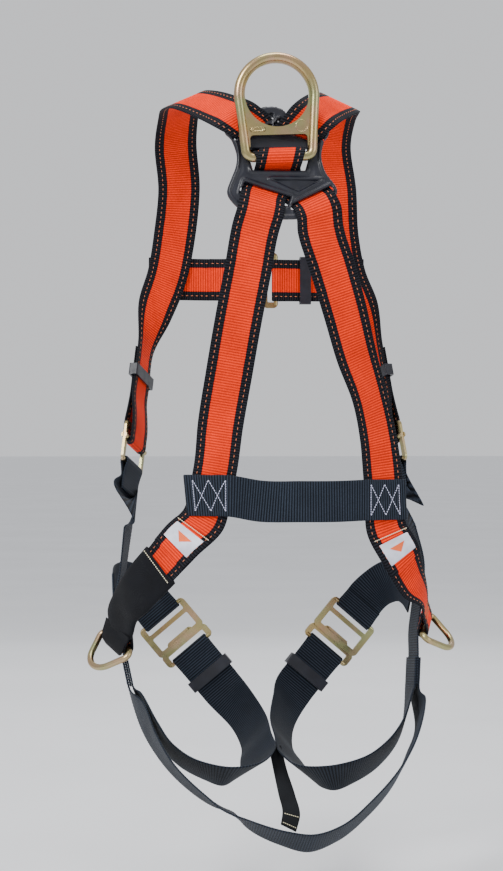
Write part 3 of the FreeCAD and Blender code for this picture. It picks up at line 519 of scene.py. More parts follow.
def webbing(name, strap, rib=RIB_HEIGHT):
    """Closed mesh of a strap with ribs across both faces."""
    top = np.array(COLUMNS)
    under = top[-2:0:-1] * (1, -1)
    loop = np.concatenate([top, under])
    count = len(strap.s)
    ridge = np.where(np.arange(count) % 2 == 0, rib / 2, -rib / 2)[:, None]
    swell = strap.thick / 2 + ridge
    p = (strap.p[:, None, :] + strap.half[:, None, :] * loop[None, :, 0, None]
         + strap.n[:, None, :] * (loop[None, :, 1] * swell)[:, :, None])
    across = np.linalg.norm(strap.half, axis=1)[:, None] * loop[None, :, 0]
    uvs = np.stack([across, np.repeat(strap.s[:, None], len(loop), axis=1)], axis=2)
    ring = len(loop)
    faces = [(i * ring + j, i * ring + (j + 1) % ring,
              (i + 1) * ring + (j + 1) % ring, (i + 1) * ring + j)
             for i in range(count - 1) for j in range(ring)]
    faces.append(tuple(reversed(range(ring))))
    faces.append(tuple(range((count - 1) * ring, count * ring)))
    return mesh_piece(name, p.reshape(-1, 3), faces, uvs.reshape(-1, 2))


GRAIN_RINGS = ((0.12, 0.6), (0.35, 1.0), (0.65, 1.0), (0.88, 0.6))
GRAIN_SIDES = 6


def grain_template():
    """One stitch along +x from 0 to 1, radius 1 in y and z, with its faces."""
    points = [(0.0, 0.0, 0.0)]
    for x, r in GRAIN_RINGS:
        for k in range(GRAIN_SIDES):
            a = 2 * math.pi * k / GRAIN_SIDES
            points.append((x, r * math.cos(a), r * math.sin(a)))
    points.append((1.0, 0.0, 0.0))
    faces = [(0, 1 + (k + 1) % GRAIN_SIDES, 1 + k) for k in range(GRAIN_SIDES)]
    for i in range(len(GRAIN_RINGS) - 1):
        a, b = 1 + i * GRAIN_SIDES, 1 + (i + 1) * GRAIN_SIDES
        faces += [(a + k, a + (k + 1) % GRAIN_SIDES, b + (k + 1) % GRAIN_SIDES, b + k)
                  for k in range(GRAIN_SIDES)]
    end = len(points) - 1
    last = 1 + (len(GRAIN_RINGS) - 1) * GRAIN_SIDES
    faces += [(end, last + k, last + (k + 1) % GRAIN_SIDES) for k in range(GRAIN_SIDES)]
    return np.array(points), faces


GRAIN_POINTS, GRAIN_FACES = grain_template()


class Thread:
    """Collects stitches into one mesh."""

    def __init__(self, radius=0.42, flat=0.6):
        self.radius = radius
        self.flat = flat
        self.points = []
        self.faces = []

    def stitch(self, a, b, up):
        way = b - a
        side = unit(np.cross(up, way))
        rise = unit(np.cross(way, side))
        base = len(self.points) * len(GRAIN_POINTS)
        self.points.append(a + GRAIN_POINTS[:, :1] * way + GRAIN_POINTS[:, 1:2] * side * self.radius
                           + GRAIN_POINTS[:, 2:] * rise * self.radius * self.flat)
        self.faces += [tuple(base + k for k in f) for f in GRAIN_FACES]

    def seam(self, strap, path, face, pitch=2.7, fill=0.8):
        """Stitches along a path of (along, across) points on one face of a strap."""
        top = face * (strap.thick / 2 + RIB_HEIGHT / 2)
        for (s0, a0), (s1, a1) in zip(path, path[1:]):
            count = max(1, int(round(math.hypot(s1 - s0, a1 - a0) / pitch)))
            for k in range(count):
                f0, f1 = k / count, (k + fill) / count
                a = strap.at(s0 + (s1 - s0) * f0, a0 + (a1 - a0) * f0, top)
                b = strap.at(s0 + (s1 - s0) * f1, a0 + (a1 - a0) * f1, top)
                up = strap.at(s0, a0, top * 2) - strap.at(s0, a0, top)
                self.stitch(a, b, up)

    def piece(self, name):
        return mesh_piece(name, np.concatenate(self.points), self.faces)


# ---- materials ----
def material(name):
    mat = bpy.data.materials.new(name)
    mat.use_nodes = True
    tree = mat.node_tree
    return mat, tree, tree.nodes["Principled BSDF"]


def add(tree, kind, links=None, **settings):
    """New node with its settings; links maps its input names or numbers to sockets or values."""
    node = tree.nodes.new("ShaderNode" + kind)
    for key, value in settings.items():
        setattr(node, key, value)
    for key, value in (links or {}).items():
        if isinstance(value, bpy.types.NodeSocket):
            tree.links.new(value, node.inputs[key])
        else:
            node.inputs[key].default_value = value
    return node


def settle(shader, **values):
    """Sets inputs by name, with underscores for spaces."""
    for name, value in values.items():
        shader.inputs[name.replace("_", " ")].default_value = value


def math_node(tree, operation, a, b=None):
    values = {0: a} if b is None else {0: a, 1: b}
    return add(tree, "Math", values, operation=operation).outputs[0]


def times(tree, a, b):
    return math_node(tree, "MULTIPLY", a, b)


def plus(tree, a, b):
    return math_node(tree, "ADD", a, b)


def ramp(tree, value, low, high, to_low=0.0, to_high=1.0):
    links = {0: value, 1: low, 2: high, 3: to_low, 4: to_high}
    return add(tree, "MapRange", links).outputs[0]


def mix(tree, share, a, b):
    """Colour a share of the way from a to b."""
    return add(tree, "Mix", {0: share, 6: a, 7: b}, data_type="RGBA").outputs[2]


def paint(tree, shader, colour, factor):
    """Base colour from a socket or a plain value, times a factor."""
    if not isinstance(colour, bpy.types.NodeSocket):
        colour = colour[:3]
    product = add(tree, "VectorMath", {0: colour, 1: factor}, operation="MULTIPLY")
    tree.links.new(product.outputs[0], shader.inputs["Base Color"])


def mix_value(tree, share, a, b):
    step = math_node(tree, "SUBTRACT", b, a)
    return plus(tree, times(tree, share, step), a)


def noise(tree, scale, detail=3.0):
    """Noise in object space, in features per metre."""
    vector = add(tree, "TexCoord").outputs["Object"]
    links = {"Vector": vector, "Scale": scale, "Detail": detail}
    return add(tree, "TexNoise", links).outputs[0]


def bump(tree, shader, height, strength, distance):
    links = {"Height": height, "Strength": strength, "Distance": distance}
    node = add(tree, "Bump", links)
    tree.links.new(node.outputs[0], shader.inputs["Normal"])


def webbing_material(name, centre, edge, share, sheen, rib_shade_depth, rough=0.62):
    """Woven tape: a centre between edge bands, painted shade between its ribs and painted
    highlights on their tops, fine yarns along it.
    """
    mat, tree, shader = material(name)
    weave = add(tree, "UVMap", uv_map="weave").outputs[0]
    parts = add(tree, "SeparateXYZ", {0: weave})
    across, along = parts.outputs[0], parts.outputs[1]
    rib = math_node(tree, "COSINE", times(tree, along, math.pi / (RIB / 2 * MM)))
    yarn = math_node(tree, "SINE", times(tree, across, 2 * math.pi / (YARN * MM)))
    blotch = ramp(tree, noise(tree, 38.0), 0.3, 0.7, 0.88, 1.1)
    fleck = ramp(tree, noise(tree, 900.0, 2.0), 0.3, 0.7, 0.8, 1.15)
    # painted shade in the grooves between the ribs and painted highlight on the rib tops; the depth
    # argument sets how strong they are
    rib_shade_and_highlight = ramp(tree, rib, -1.0, 0.9, 1.0 - 0.55 * rib_shade_depth, 1.0 + 0.3 * rib_shade_depth)
    # random tone (blotch, fleck) times the painted rib shade and highlight
    tone_and_rib_shade = times(tree, times(tree, rib_shade_and_highlight, blotch), fleck)
    colour = centre
    if share < 1.0:
        reach = share * WEB_WIDTH / 2 * MM
        size = math_node(tree, "ABSOLUTE", across)
        wander = times(tree, noise(tree, 420.0, 1.0), 0.0007)
        band = ramp(tree, plus(tree, size, wander), reach, reach + 0.0004)
        colour = mix(tree, band, centre, edge)
        # edge bands: stronger painted shade in the grooves and a bright painted highlight on the
        # rib tops
        band_rib_shade_and_highlight = ramp(tree, rib, -1.0, 1.0, 0.45, 2.1)
        tone_and_rib_shade = times(tree, tone_and_rib_shade, mix_value(tree, band, 1.0, band_rib_shade_and_highlight))
    paint(tree, shader, colour, tone_and_rib_shade)
    height = plus(tree, times(tree, yarn, 0.35), fleck)
    bump(tree, shader, height, 0.55, 0.0002)
    settle(shader, Roughness=rough, Specular_IOR_Level=0.08,
           Sheen_Weight=sheen, Sheen_Roughness=0.4)
    return mat


def cloth_material(name, colour, weave=0.55, sheen=0.03):
    """Close plain cloth: a fine criss-cross of threads."""
    mat, tree, shader = material(name)
    place = add(tree, "TexCoord").outputs["Object"]
    parts = add(tree, "SeparateXYZ", {0: place})
    pitch = 2 * math.pi / (weave * MM)
    waves = [math_node(tree, "SINE", times(tree, parts.outputs[k], pitch))
             for k in range(3)]
    cross = times(tree, plus(tree, waves[0], waves[1]), waves[2])
    blotch = ramp(tree, noise(tree, 45.0), 0.3, 0.7, 0.75, 1.3)
    paint(tree, shader, colour, blotch)
    bump(tree, shader, plus(tree, cross, noise(tree, 700.0)), 0.5, 0.00015)
    settle(shader, Roughness=0.8, Specular_IOR_Level=0.15, Sheen_Weight=sheen)
    return mat


def thread_material(name, colour):
    mat, tree, shader = material(name)
    twist = ramp(tree, noise(tree, 1500.0, 1.0), 0.3, 0.7, 0.75, 1.1)
    paint(tree, shader, colour, twist)
    bump(tree, shader, noise(tree, 2500.0, 1.0), 0.4, 0.0001)
    settle(shader, Roughness=0.55)
    return mat


def zinc_material():
    """Yellow-passivated plating: gold with green and pink clouds, fine scratches."""
    mat, tree, shader = material("zinc_plating")
    cloud = ramp(tree, noise(tree, 26.0, 2.0), 0.35, 0.65)
    tint = ramp(tree, noise(tree, 55.0, 2.0), 0.45, 0.7)
    gold = mix(tree, cloud, (0.42, 0.31, 0.14, 1.0), (0.33, 0.33, 0.16, 1.0))
    colour = mix(tree, times(tree, tint, 0.55), gold, (0.52, 0.29, 0.22, 1.0))
    tree.links.new(colour, shader.inputs["Base Color"])
    wear = ramp(tree, noise(tree, 90.0, 3.0), 0.35, 0.7, 0.24, 0.34)
    tree.links.new(wear, shader.inputs["Roughness"])
    settle(shader, Metallic=1.0)
    bump(tree, shader, noise(tree, 220.0, 2.0), 0.05, 0.00006)
    return mat


def plastic_material(name, colour, rough):
    """Satin moulding with a fine spark-eroded grain and faint scuffs."""
    mat, tree, shader = material(name)
    scuff = ramp(tree, noise(tree, 90.0, 5.0), 0.4, 0.75, 0.9, 1.5)
    paint(tree, shader, colour, scuff)
    tree.links.new(ramp(tree, noise(tree, 120.0, 4.0), 0.3, 0.7, rough - 0.06, rough + 0.12),
                   shader.inputs["Roughness"])
    bump(tree, shader, noise(tree, 1400.0, 2.0), 0.22, 0.0001)
    settle(shader, Specular_IOR_Level=0.4)
    return mat


ORANGE = (0.80, 0.030, 0.001, 1.0)
BAND_BLACK = (0.0065, 0.0068, 0.0095, 1.0)
SLATE = (0.018, 0.024, 0.035, 1.0)
SLEEVE_BLACK = (0.0035, 0.004, 0.006, 1.0)
TAPE = webbing_material("orange_tape", ORANGE, BAND_BLACK, CENTRE_SHARE, 0.02, 0.75)
GREY = webbing_material("grey_tape", SLATE, SLATE, 1.0, 0.06, 1.6)
BLACK_CLOTH = cloth_material("black_cloth", SLEEVE_BLACK)
LINK_CLOTH = cloth_material("link_cloth", (0.008, 0.009, 0.011, 1.0), 0.8)
LABEL_WHITE = cloth_material("label_white", (0.66, 0.68, 0.78, 1.0), 0.4, 0.05)
LABEL_ORANGE = cloth_material("label_orange", (0.80, 0.14, 0.045, 1.0), 0.4, 0.05)
ORANGE_THREAD = thread_material("orange_thread", (0.62, 0.17, 0.07, 1.0))
LILAC_THREAD = thread_material("lilac_thread", (0.62, 0.63, 0.82, 1.0))
CREAM_THREAD = thread_material("cream_thread", (0.78, 0.72, 0.50, 1.0))
GREY_THREAD = thread_material("grey_thread", (0.10, 0.12, 0.16, 1.0))
ZINC = zinc_material()
PLASTIC = plastic_material("satin_plastic", (0.010, 0.011, 0.017, 1.0), 0.34)


# ---- stitching ----
def outer_face(strap, s):
    """Which face of a strap looks away from the wearer, 1 or -1."""
    p = strap.at(s, 0.0, 0.0)
    n = strap.at(s, 0.0, 1.0) - p
    return 1 if np.dot(n[:2], p[:2]) > 0 else -1


def band_seams(name, strap):
    """The stitch line along each edge band, on both faces."""
    thread = Thread(0.4, 0.7)
    for k in range(int(strap.length / STITCH_PITCH)):
        s = (k + 0.3) * STITCH_PITCH
        reach = SEAM_SHARE * np.interp(s, strap.s, np.linalg.norm(strap.half, axis=1))
        for side in (-reach, reach):
            for face in (-1, 1):
                path = [(s, side), (s + STITCH_LENGTH, side)]
                thread.seam(strap, path, face, pitch=STITCH_LENGTH)
    dress(thread.piece(name), ORANGE_THREAD)


def zigzag(start, end, reach, turns, first=1):
    """Path that crosses the webbing and back while it moves along."""
    step = (end - start) / turns
    return [(start + k * step, first * (reach if k % 2 else -reach)) for k in range(turns + 1)]


def stitch_box(name, strap, start, end, reach):
    """Two crossing zigzags between rows of close stitches."""
    face = outer_face(strap, (start + end) / 2)
    thread = Thread(0.45, 0.7)
    for first in (-1, 1):
        thread.seam(strap, zigzag(start, end, reach, BOX_TURNS, first), face)
    for s in (start, end):
        thread.seam(strap, [(s, -reach), (s, reach)], face, pitch=1.7)
    dress(thread.piece(name), LILAC_THREAD)


def rows_of_w(name, strap, start, end, reach, turns, colour):
    """Zigzags along a sewn end, doubled a stitch's width apart."""
    face = outer_face(strap, (start + end) / 2)
    thread = Thread(0.4, 0.7)
    for shift in (0.0, 1.1):
        thread.seam(strap, zigzag(start + shift, end + shift, reach, turns), face)
    dress(thread.piece(name), colour)


# ---- webbing ----
def tape(node, stations, look, seams=False, thick=WEB_THICK):
    """A strap that stands for its node in the frame."""
    strap = Strap(stations, thick)
    dress(webbing(node + "_web", strap), look, stands_for=(node,))
    if seams:
        band_seams(node + "_seams", strap)
    return strap


def grey(node, stations):
    return tape(node, stations, GREY)


def side_stations(side):
    f = adjuster_frame(side)
    bar = Frame(f.point(BOTTOM_BAR_AT, 0), f.u * -1.0, f.n)
    return loop_end(bar, LOOP_R, 30.0) + side_rows(side) + in_packet(side, 0)


def leg_stations(side):
    loop = loop_end(leg_buckle_frame(side), LOOP_R, LEG_TAIL, 1.0)
    return in_packet(side, -1) + [row(*r) for r in LEG[side]] + loop[::-1]


def chest_stations(side):
    if side < 0:
        stations = loop_end(chest_receiver_frame(), LOOP_R, 24.0)
    else:
        stations = loop_end(chest_tongue_frame(), LOOP_R, 46.0, 1.0)
    return stations + [
        row(side * 80, 115.3, 232, side * 172, 2), row(side * 97, 111.5, 232, side * 163, 2),
        row(side * 116, 105.6, 232, side * 158, 2)]


def stub_stations(side):
    return loop_end(leg_receiver_frame(side), LOOP_R, 18.0) + [row(*r) for r in LEG_STUB[side]]


LINK = [
    row(5, -40, -246, 8, 44, 13), row(8, -62, -266, 12, 46, 14), row(12, -88, -286, 16, 50, 17),
    row(14, -108, -300, 22, 46, 18), row(10, -121, -311, 34, 40, 17)]

STRAPS = {}
MAIN = {}
for side, name, stations in ((-1, "left", main_strap_left_shoulder()),
                             (1, "right", main_strap_right_shoulder())):
    MAIN[name] = tape("main_strap_" + name + "_shoulder", stations, TAPE, True)
    tape("chest_strap_" + name, chest_stations(side), TAPE, True)
    STRAPS["side_" + name] = grey("side_strap_" + name, side_stations(side))
    STRAPS["leg_" + name] = grey("leg_strap_" + name, leg_stations(side))
    STRAPS["stub_" + name] = grey("leg_buckle_strap_" + name, stub_stations(side))
SEAT_STRAP = grey("seat_strap", in_packet(-1, 1) + [row(*r) for r in SEAT] + in_packet(1, 1)[::-1])
LUMBAR = grey("lumbar_cross_strap", lumbar_fold((-63.5, -93.4, 6.0), -25, -1, 6.0)
              + [row(*r, LUMBAR_WIDTH) for r in LUMBAR_MIDDLE]
              + lumbar_fold((109.0, -79.0, 1.0), 24, 1, 3.0)[::-1])
LINK_STRAP = tape("crotch_link", LINK, LINK_CLOTH, thick=1.5)

HEM_BACKS = (3.0, 15.0)  # from the crotch link's end to its two stitch lines
HEM_REACH = 7.5
link_hem = Thread(0.5, 0.8)
for back in HEM_BACKS:
    s = LINK_STRAP.length - back
    link_hem.seam(LINK_STRAP, [(s, -HEM_REACH), (s, HEM_REACH)], outer_face(LINK_STRAP, s),
                  pitch=2.2, fill=0.88)
dress(link_hem.piece("crotch_link_hem"), CREAM_THREAD)

# sewn ends: the lumbar strap's two crossed boxes, then the zigzags of the grey straps
for name, where in (("left", vec(-64, -97, 6)), ("right", vec(109, -83, 1))):
    middle = LUMBAR.nearest(where)
    stitch_box("lumbar_box_" + name, LUMBAR, middle - BOX_HALF, middle + BOX_HALF, BOX_REACH)
for side, name in SIDES:
    strap = STRAPS["side_" + name]
    bar = strap.nearest(adjuster_frame(side).point(BOTTOM_BAR_AT - 12, 1.0))
    rows_of_w("side_end_" + name, strap, bar - 4, bar + 20, ROW_REACH, 6, GREY_THREAD)
    rows_of_w("leg_end_" + name, STRAPS["stub_" + name], 2.0, 16.0, ROW_REACH, 4, GREY_THREAD)
    main = MAIN["right" if side < 0 else "left"]
    hip = hip_frame(side)
    rows_of_w("hip_end_" + name, main,
              main.nearest(hip.point(22, 1.0)), main.nearest(hip.point(10, 1.0)),
              14.0, 4, ORANGE_THREAD)
rows_of_w("packet_rows_left", SEAT_STRAP, 2.0, 24.0, ROW_REACH, 6, GREY_THREAD)
rows_of_w("packet_rows_right", SEAT_STRAP, SEAT_STRAP.length - 26.0, SEAT_STRAP.length - 3.0,
          ROW_REACH, 6, GREY_THREAD)


# ---- fall indicators ----
FOLD_LENGTH = 34.0
LABEL_ACROSS = 34.0
LABEL_ALONG = 20.0
LABEL_THICK = 0.6
SIGN_WIDTH = 18.0
SIGN_LENGTH = 8.0
SIGN_ROWS = 8
TAG_PITCH = 0.5


def sign_faces():
    """Faces of a thin patch of ten points to a row: five on its face, five under it."""
    faces = [tuple(range(10))[:5] + (9, 8, 7, 6, 5)]
    for k in range(SIGN_ROWS):
        a, b = 10 * k, 10 * k + 10
        ring = [0, 1, 2, 3, 4, 9, 8, 7, 6, 5]
        faces += [(a + p, b + p, b + q, a + q) for p, q in zip(ring, ring[1:] + ring[:1])]
    end = 10 * SIGN_ROWS
    return faces + [tuple(end + k for k in (5, 6, 7, 8, 9, 4, 3, 2, 1, 0))]


def curled_fold(strap, start):
    """Second layer of the strap: it leaves the strap in a tight turn and runs on along it."""
    r = LAYER / 2
    spots = [(start + 4.0, 0.0)]
    spots += [(start - r * math.sin(math.radians(a)), -r + r * math.cos(math.radians(a)))
              for a in range(0, 181, 20)]
    spots += [(start + k, -LAYER) for k in range(1, int(FOLD_LENGTH) + 1)]
    return strap.part(spots, WEB_WIDTH - 1, WEB_THICK)


def fall_indicator(name, strap, at):
    start = strap.nearest(at)
    fold = curled_fold(strap, start)
    node = "fall_indicator_fold_" + name
    dress(webbing(node + "_web", fold), TAPE, stands_for=(node,))
    band_seams(node + "_seams", fold)
    lift = LAYER + (WEB_THICK + LABEL_THICK) / 2 + 0.15
    start = strap.nearest(at + vec(0, 0, -6))
    along = np.linspace(start, start + LABEL_ALONG, int(LABEL_ALONG) + 1)
    tag = strap.part([(s, -lift) for s in along], LABEL_ACROSS, LABEL_THICK, TAG_PITCH)
    node = "fall_indicator_label_" + name
    dress(webbing(node + "_tag", tag, 0.0), LABEL_WHITE, stands_for=(node,))
    face = LABEL_THICK / 2
    middle = LABEL_ALONG / 2
    rows = []
    for k in range(SIGN_ROWS + 1):
        f = k / SIGN_ROWS
        reach = (1 - f) * SIGN_WIDTH / 2 + 0.15
        rows += [tag.at(middle + SIGN_LENGTH * (f - 0.4), reach * share, -z)
                 for z in (face + 0.3, face - 0.1) for share in (-1.0, -0.5, 0.0, 0.5, 1.0)]
    sign = mesh_piece("label_sign_" + name, rows, sign_faces(), smooth=False)
    dress(sign, LABEL_ORANGE)
    thread = Thread(0.5, 0.8)
    edge = LABEL_ACROSS / 2 + 2.5
    row_at = fold.nearest(tag.p[0]) - 4.0
    face = outer_face(fold, row_at)
    thread.seam(fold, [(row_at, -edge), (row_at, edge)], face, pitch=2.2, fill=0.9)
    dress(thread.piece("label_tack_" + name), CREAM_THREAD)


fall_indicator("left", MAIN["right"], vec(-80, -94, -26))
fall_indicator("right", MAIN["left"], vec(116, -79, -32))


# ---- label sleeve ----
SLEEVE_WIDTH = 51.0
SLEEVE_THICK = 9.0
SLEEVE_WALL = 1.2
SLEEVE_FLAP = [  # along, out, width
    (15.0, 3.7, 49.0), (11.0, 4.1, 49.0), (5.0, 5.9, 46.0),
    (0.0, 6.6, 45.0), (-5.0, 6.3, 41.0), (-8.5, 4.8, 30.0)]


def label_sleeve():
    """Soft flattened tube, hemmed at its top, over the strap that ends at the left hip ring."""
    f = hip_frame(-1)
    run = Strap([
        row(-111, -90.5, -61, -36, 12, SLEEVE_WIDTH), row(-133, -79, -87, -46, 10, SLEEVE_WIDTH),
        f.station(25.0, LAYER / 2, SLEEVE_WIDTH), f.station(12.0, 0.0, SLEEVE_WIDTH)],
        SLEEVE_THICK, 1.0)
    angles = np.linspace(0, 2 * math.pi, 73)[:-1]
    across = np.sign(np.cos(angles)) * np.abs(np.cos(angles)) ** 0.55
    rise = np.sign(np.sin(angles)) * np.abs(np.sin(angles)) ** 0.8
    s = run.s[:, None]
    hem = 0.7 * np.exp(-((s - 3.0) / 2.2) ** 2) + 0.45 * np.exp(-((s - 11.0) / 1.6) ** 2)
    crease = (0.9 * np.sin(s / 9.0 + 2.2 * across) * np.sin(s / 23.0 + 1.4)
              + 0.5 * np.sin(s / 4.6 - 3.0 * across + 0.6)) * (1 - np.exp(-s / 18.0))
    size = np.linalg.norm(run.half, axis=1)[:, None]
    taper = 1.0 - 0.10 * np.clip((s - run.length + 12.0) / 12.0, 0, 1) ** 2
    rings = []
    for inset in (0.0, SLEEVE_WALL):
        thick = SLEEVE_THICK / 2 - inset
        lift = rise * (thick + (hem + crease) * (inset == 0.0) - 0.4)
        wide = across * (size - inset) * taper
        way = run.half / size
        rings.append(run.p[:, None, :] + way[:, None, :] * wide[:, :, None]
                     + run.n[:, None, :] * lift[:, :, None])
    outer, inner = rings
    count, ring = outer.shape[0], outer.shape[1]
    points = np.concatenate([outer.reshape(-1, 3), inner.reshape(-1, 3)])
    base = count * ring
    faces = []
    for k in range(ring):
        m = (k + 1) % ring
        for i in range(count - 1):
            a, b = i * ring, (i + 1) * ring
            faces.append((a + k, b + k, b + m, a + m))
            faces.append((base + a + k, base + a + m, base + b + m, base + b + k))
        last = (count - 1) * ring
        faces.append((k, m, base + m, base + k))
        faces.append((last + k, base + last + k, base + last + m, last + m))
    dress(mesh_piece("label_sleeve_cloth", points, faces), BLACK_CLOTH,
          stands_for=("label_sleeve",))
    flap = Strap([f.station(*s) for s in SLEEVE_FLAP], SLEEVE_WALL, 0.8)
    dress(webbing("label_sleeve_flap", flap, 0.0), BLACK_CLOTH)
    run.thick = SLEEVE_THICK + 0.5
    thread = Thread(0.5, 0.7)
    face = outer_face(run, 8.0)
    for look in (face, -face):
        thread.seam(run, [(3.2, -22.5), (3.2, 22.5)], look, pitch=2.6)
    dress(thread.piece("label_sleeve_hem"), CREAM_THREAD)


label_sleeve()


# ---- dorsal plate ----
CROSSBAR_LOW = 9.6       # lower edge of the bar above the window
BRIDGE_HIGH = -11.1      # lower edge of the window
WINDOW_HALF = 31.0
WINDOW_FOOT = 25.0       # half width at the window's bottom
PLATE_OUTLINE = [
    (-52.0, 29.0), (-50.0, 35.0), (-44.0, 36.5), (-32.0, 43.0), (-20.0, 50.0), (-11.0, 51.8),
    (-3.5, 52.0), (4.0, 49.5), (9.0, 45.5), (22.0, 44.0), (36.0, 37.5), (43.0, 35.8), (48.5, 31.0),
    (48.5, 24.5), (43.5, 16.0), (41.0, 2.0), (45.0, -13.0), (53.5, -25.0), (55.5, -32.0),
    (51.5, -41.0), (40.0, -50.5), (22.0, -58.0), (-4.0, -59.0), (-24.0, -56.0), (-38.0, -49.5),
    (-47.0, -40.5), (-50.0, -32.0), (-46.0, -20.0), (-41.5, -8.0), (-40.5, 4.0), (-45.0, 18.0),
    (-50.5, 24.0)]
TOP_LEFT_SLOT = [(-39.0, 21.0), (-10.5, 40.5), (-15.0, 46.0), (-43.0, 28.0)]
TOP_RIGHT_SLOT = [(-3.0, 30.5), (37.5, 15.5), (40.5, 23.0), (0.0, 38.5)]
LOW_LEFT_SLOT = [(-33.0, -23.3), (10.5, -37.6), (7.5, -46.5), (-36.0, -33.5)]
LOW_RIGHT_SLOT = [(12.4, -45.3), (50.0, -26.6), (47.5, -36.5), (16.5, -51.5)]
WINDOW = [(-WINDOW_FOOT, BRIDGE_HIGH), (WINDOW_FOOT, BRIDGE_HIGH),
          (WINDOW_HALF, CROSSBAR_LOW), (-WINDOW_HALF, CROSSBAR_LOW)]
BRIDGE_RECESS = [(-8.0, -20.5), (40.0, -20.5), (18.0, -32.5)]
KNOB_HOLES = [(-6.5, 44.0), (-8.5, 32.5)]
PLATE_CELL = 0.8
EDGE_ROUND = 1.7


def closed_curve(points, steps=8):
    """Smooth closed polygon through the points."""
    p = np.array(points, float)
    f = (np.arange(steps) / steps)[:, None]
    out = []
    for i in range(len(p)):
        a, b, c, d = p[i - 1], p[i], p[(i + 1) % len(p)], p[(i + 2) % len(p)]
        out.append(0.5 * (2 * b + (c - a) * f + (2 * a - 5 * b + 4 * c - d) * f ** 2
                          + (3 * b - a - 3 * c + d) * f ** 3))
    return np.concatenate(out)


def depth_inside(x, y, polygon):
    """Distance to a polygon's edge, positive inside it."""
    poly = np.array(polygon, float)
    near = np.full(x.shape, 1e9)
    inside = np.zeros(x.shape, bool)
    for (x0, y0), (x1, y1) in zip(poly, np.roll(poly, -1, axis=0)):
        dx, dy = x1 - x0, y1 - y0
        f = np.clip(((x - x0) * dx + (y - y0) * dy) / (dx * dx + dy * dy), 0, 1)
        near = np.minimum(near, np.hypot(x - x0 - f * dx, y - y0 - f * dy))
        if dy:
            inside ^= ((y0 > y) != (y1 > y)) & (x < x0 + (y - y0) * dx / dy)
    return np.where(inside, near, -near)


def smooth(x):
    x = np.clip(x, 0, 1)
    return x * x * (3 - 2 * x)


def strap_limits(x, y, top, low):
    """Lowers the plate's face and raises its back where webbing lies against them."""
    for strap in MAIN.values():
        rel = strap.p - PLATE.o
        close = np.linalg.norm(rel, axis=1) < 75
        for share in np.linspace(-1.0, 1.0, 91):
            q = rel[close] + strap.half[close] * share
            n = q @ PLATE.n
            keep = np.abs(n) < 9
            j = np.rint((-(q @ PLATE.w)[keep] - x[0, 0]) / PLATE_CELL).astype(int)
            i = np.rint(((q @ PLATE.u)[keep] - y[0, 0]) / PLATE_CELL).astype(int)
            for di in (-1, 0, 1):
                for dj in (-1, 0, 1):
                    ii = np.clip(i + di, 0, x.shape[0] - 1)
                    jj = np.clip(j + dj, 0, x.shape[1] - 1)
                    over = n[keep] > 1.8
                    clear = WEB_THICK / 2 + GAP
                    np.minimum.at(top, (ii[over], jj[over]), n[keep][over] - clear)
                    np.maximum.at(low, (ii[~over], jj[~over]), n[keep][~over] + clear)


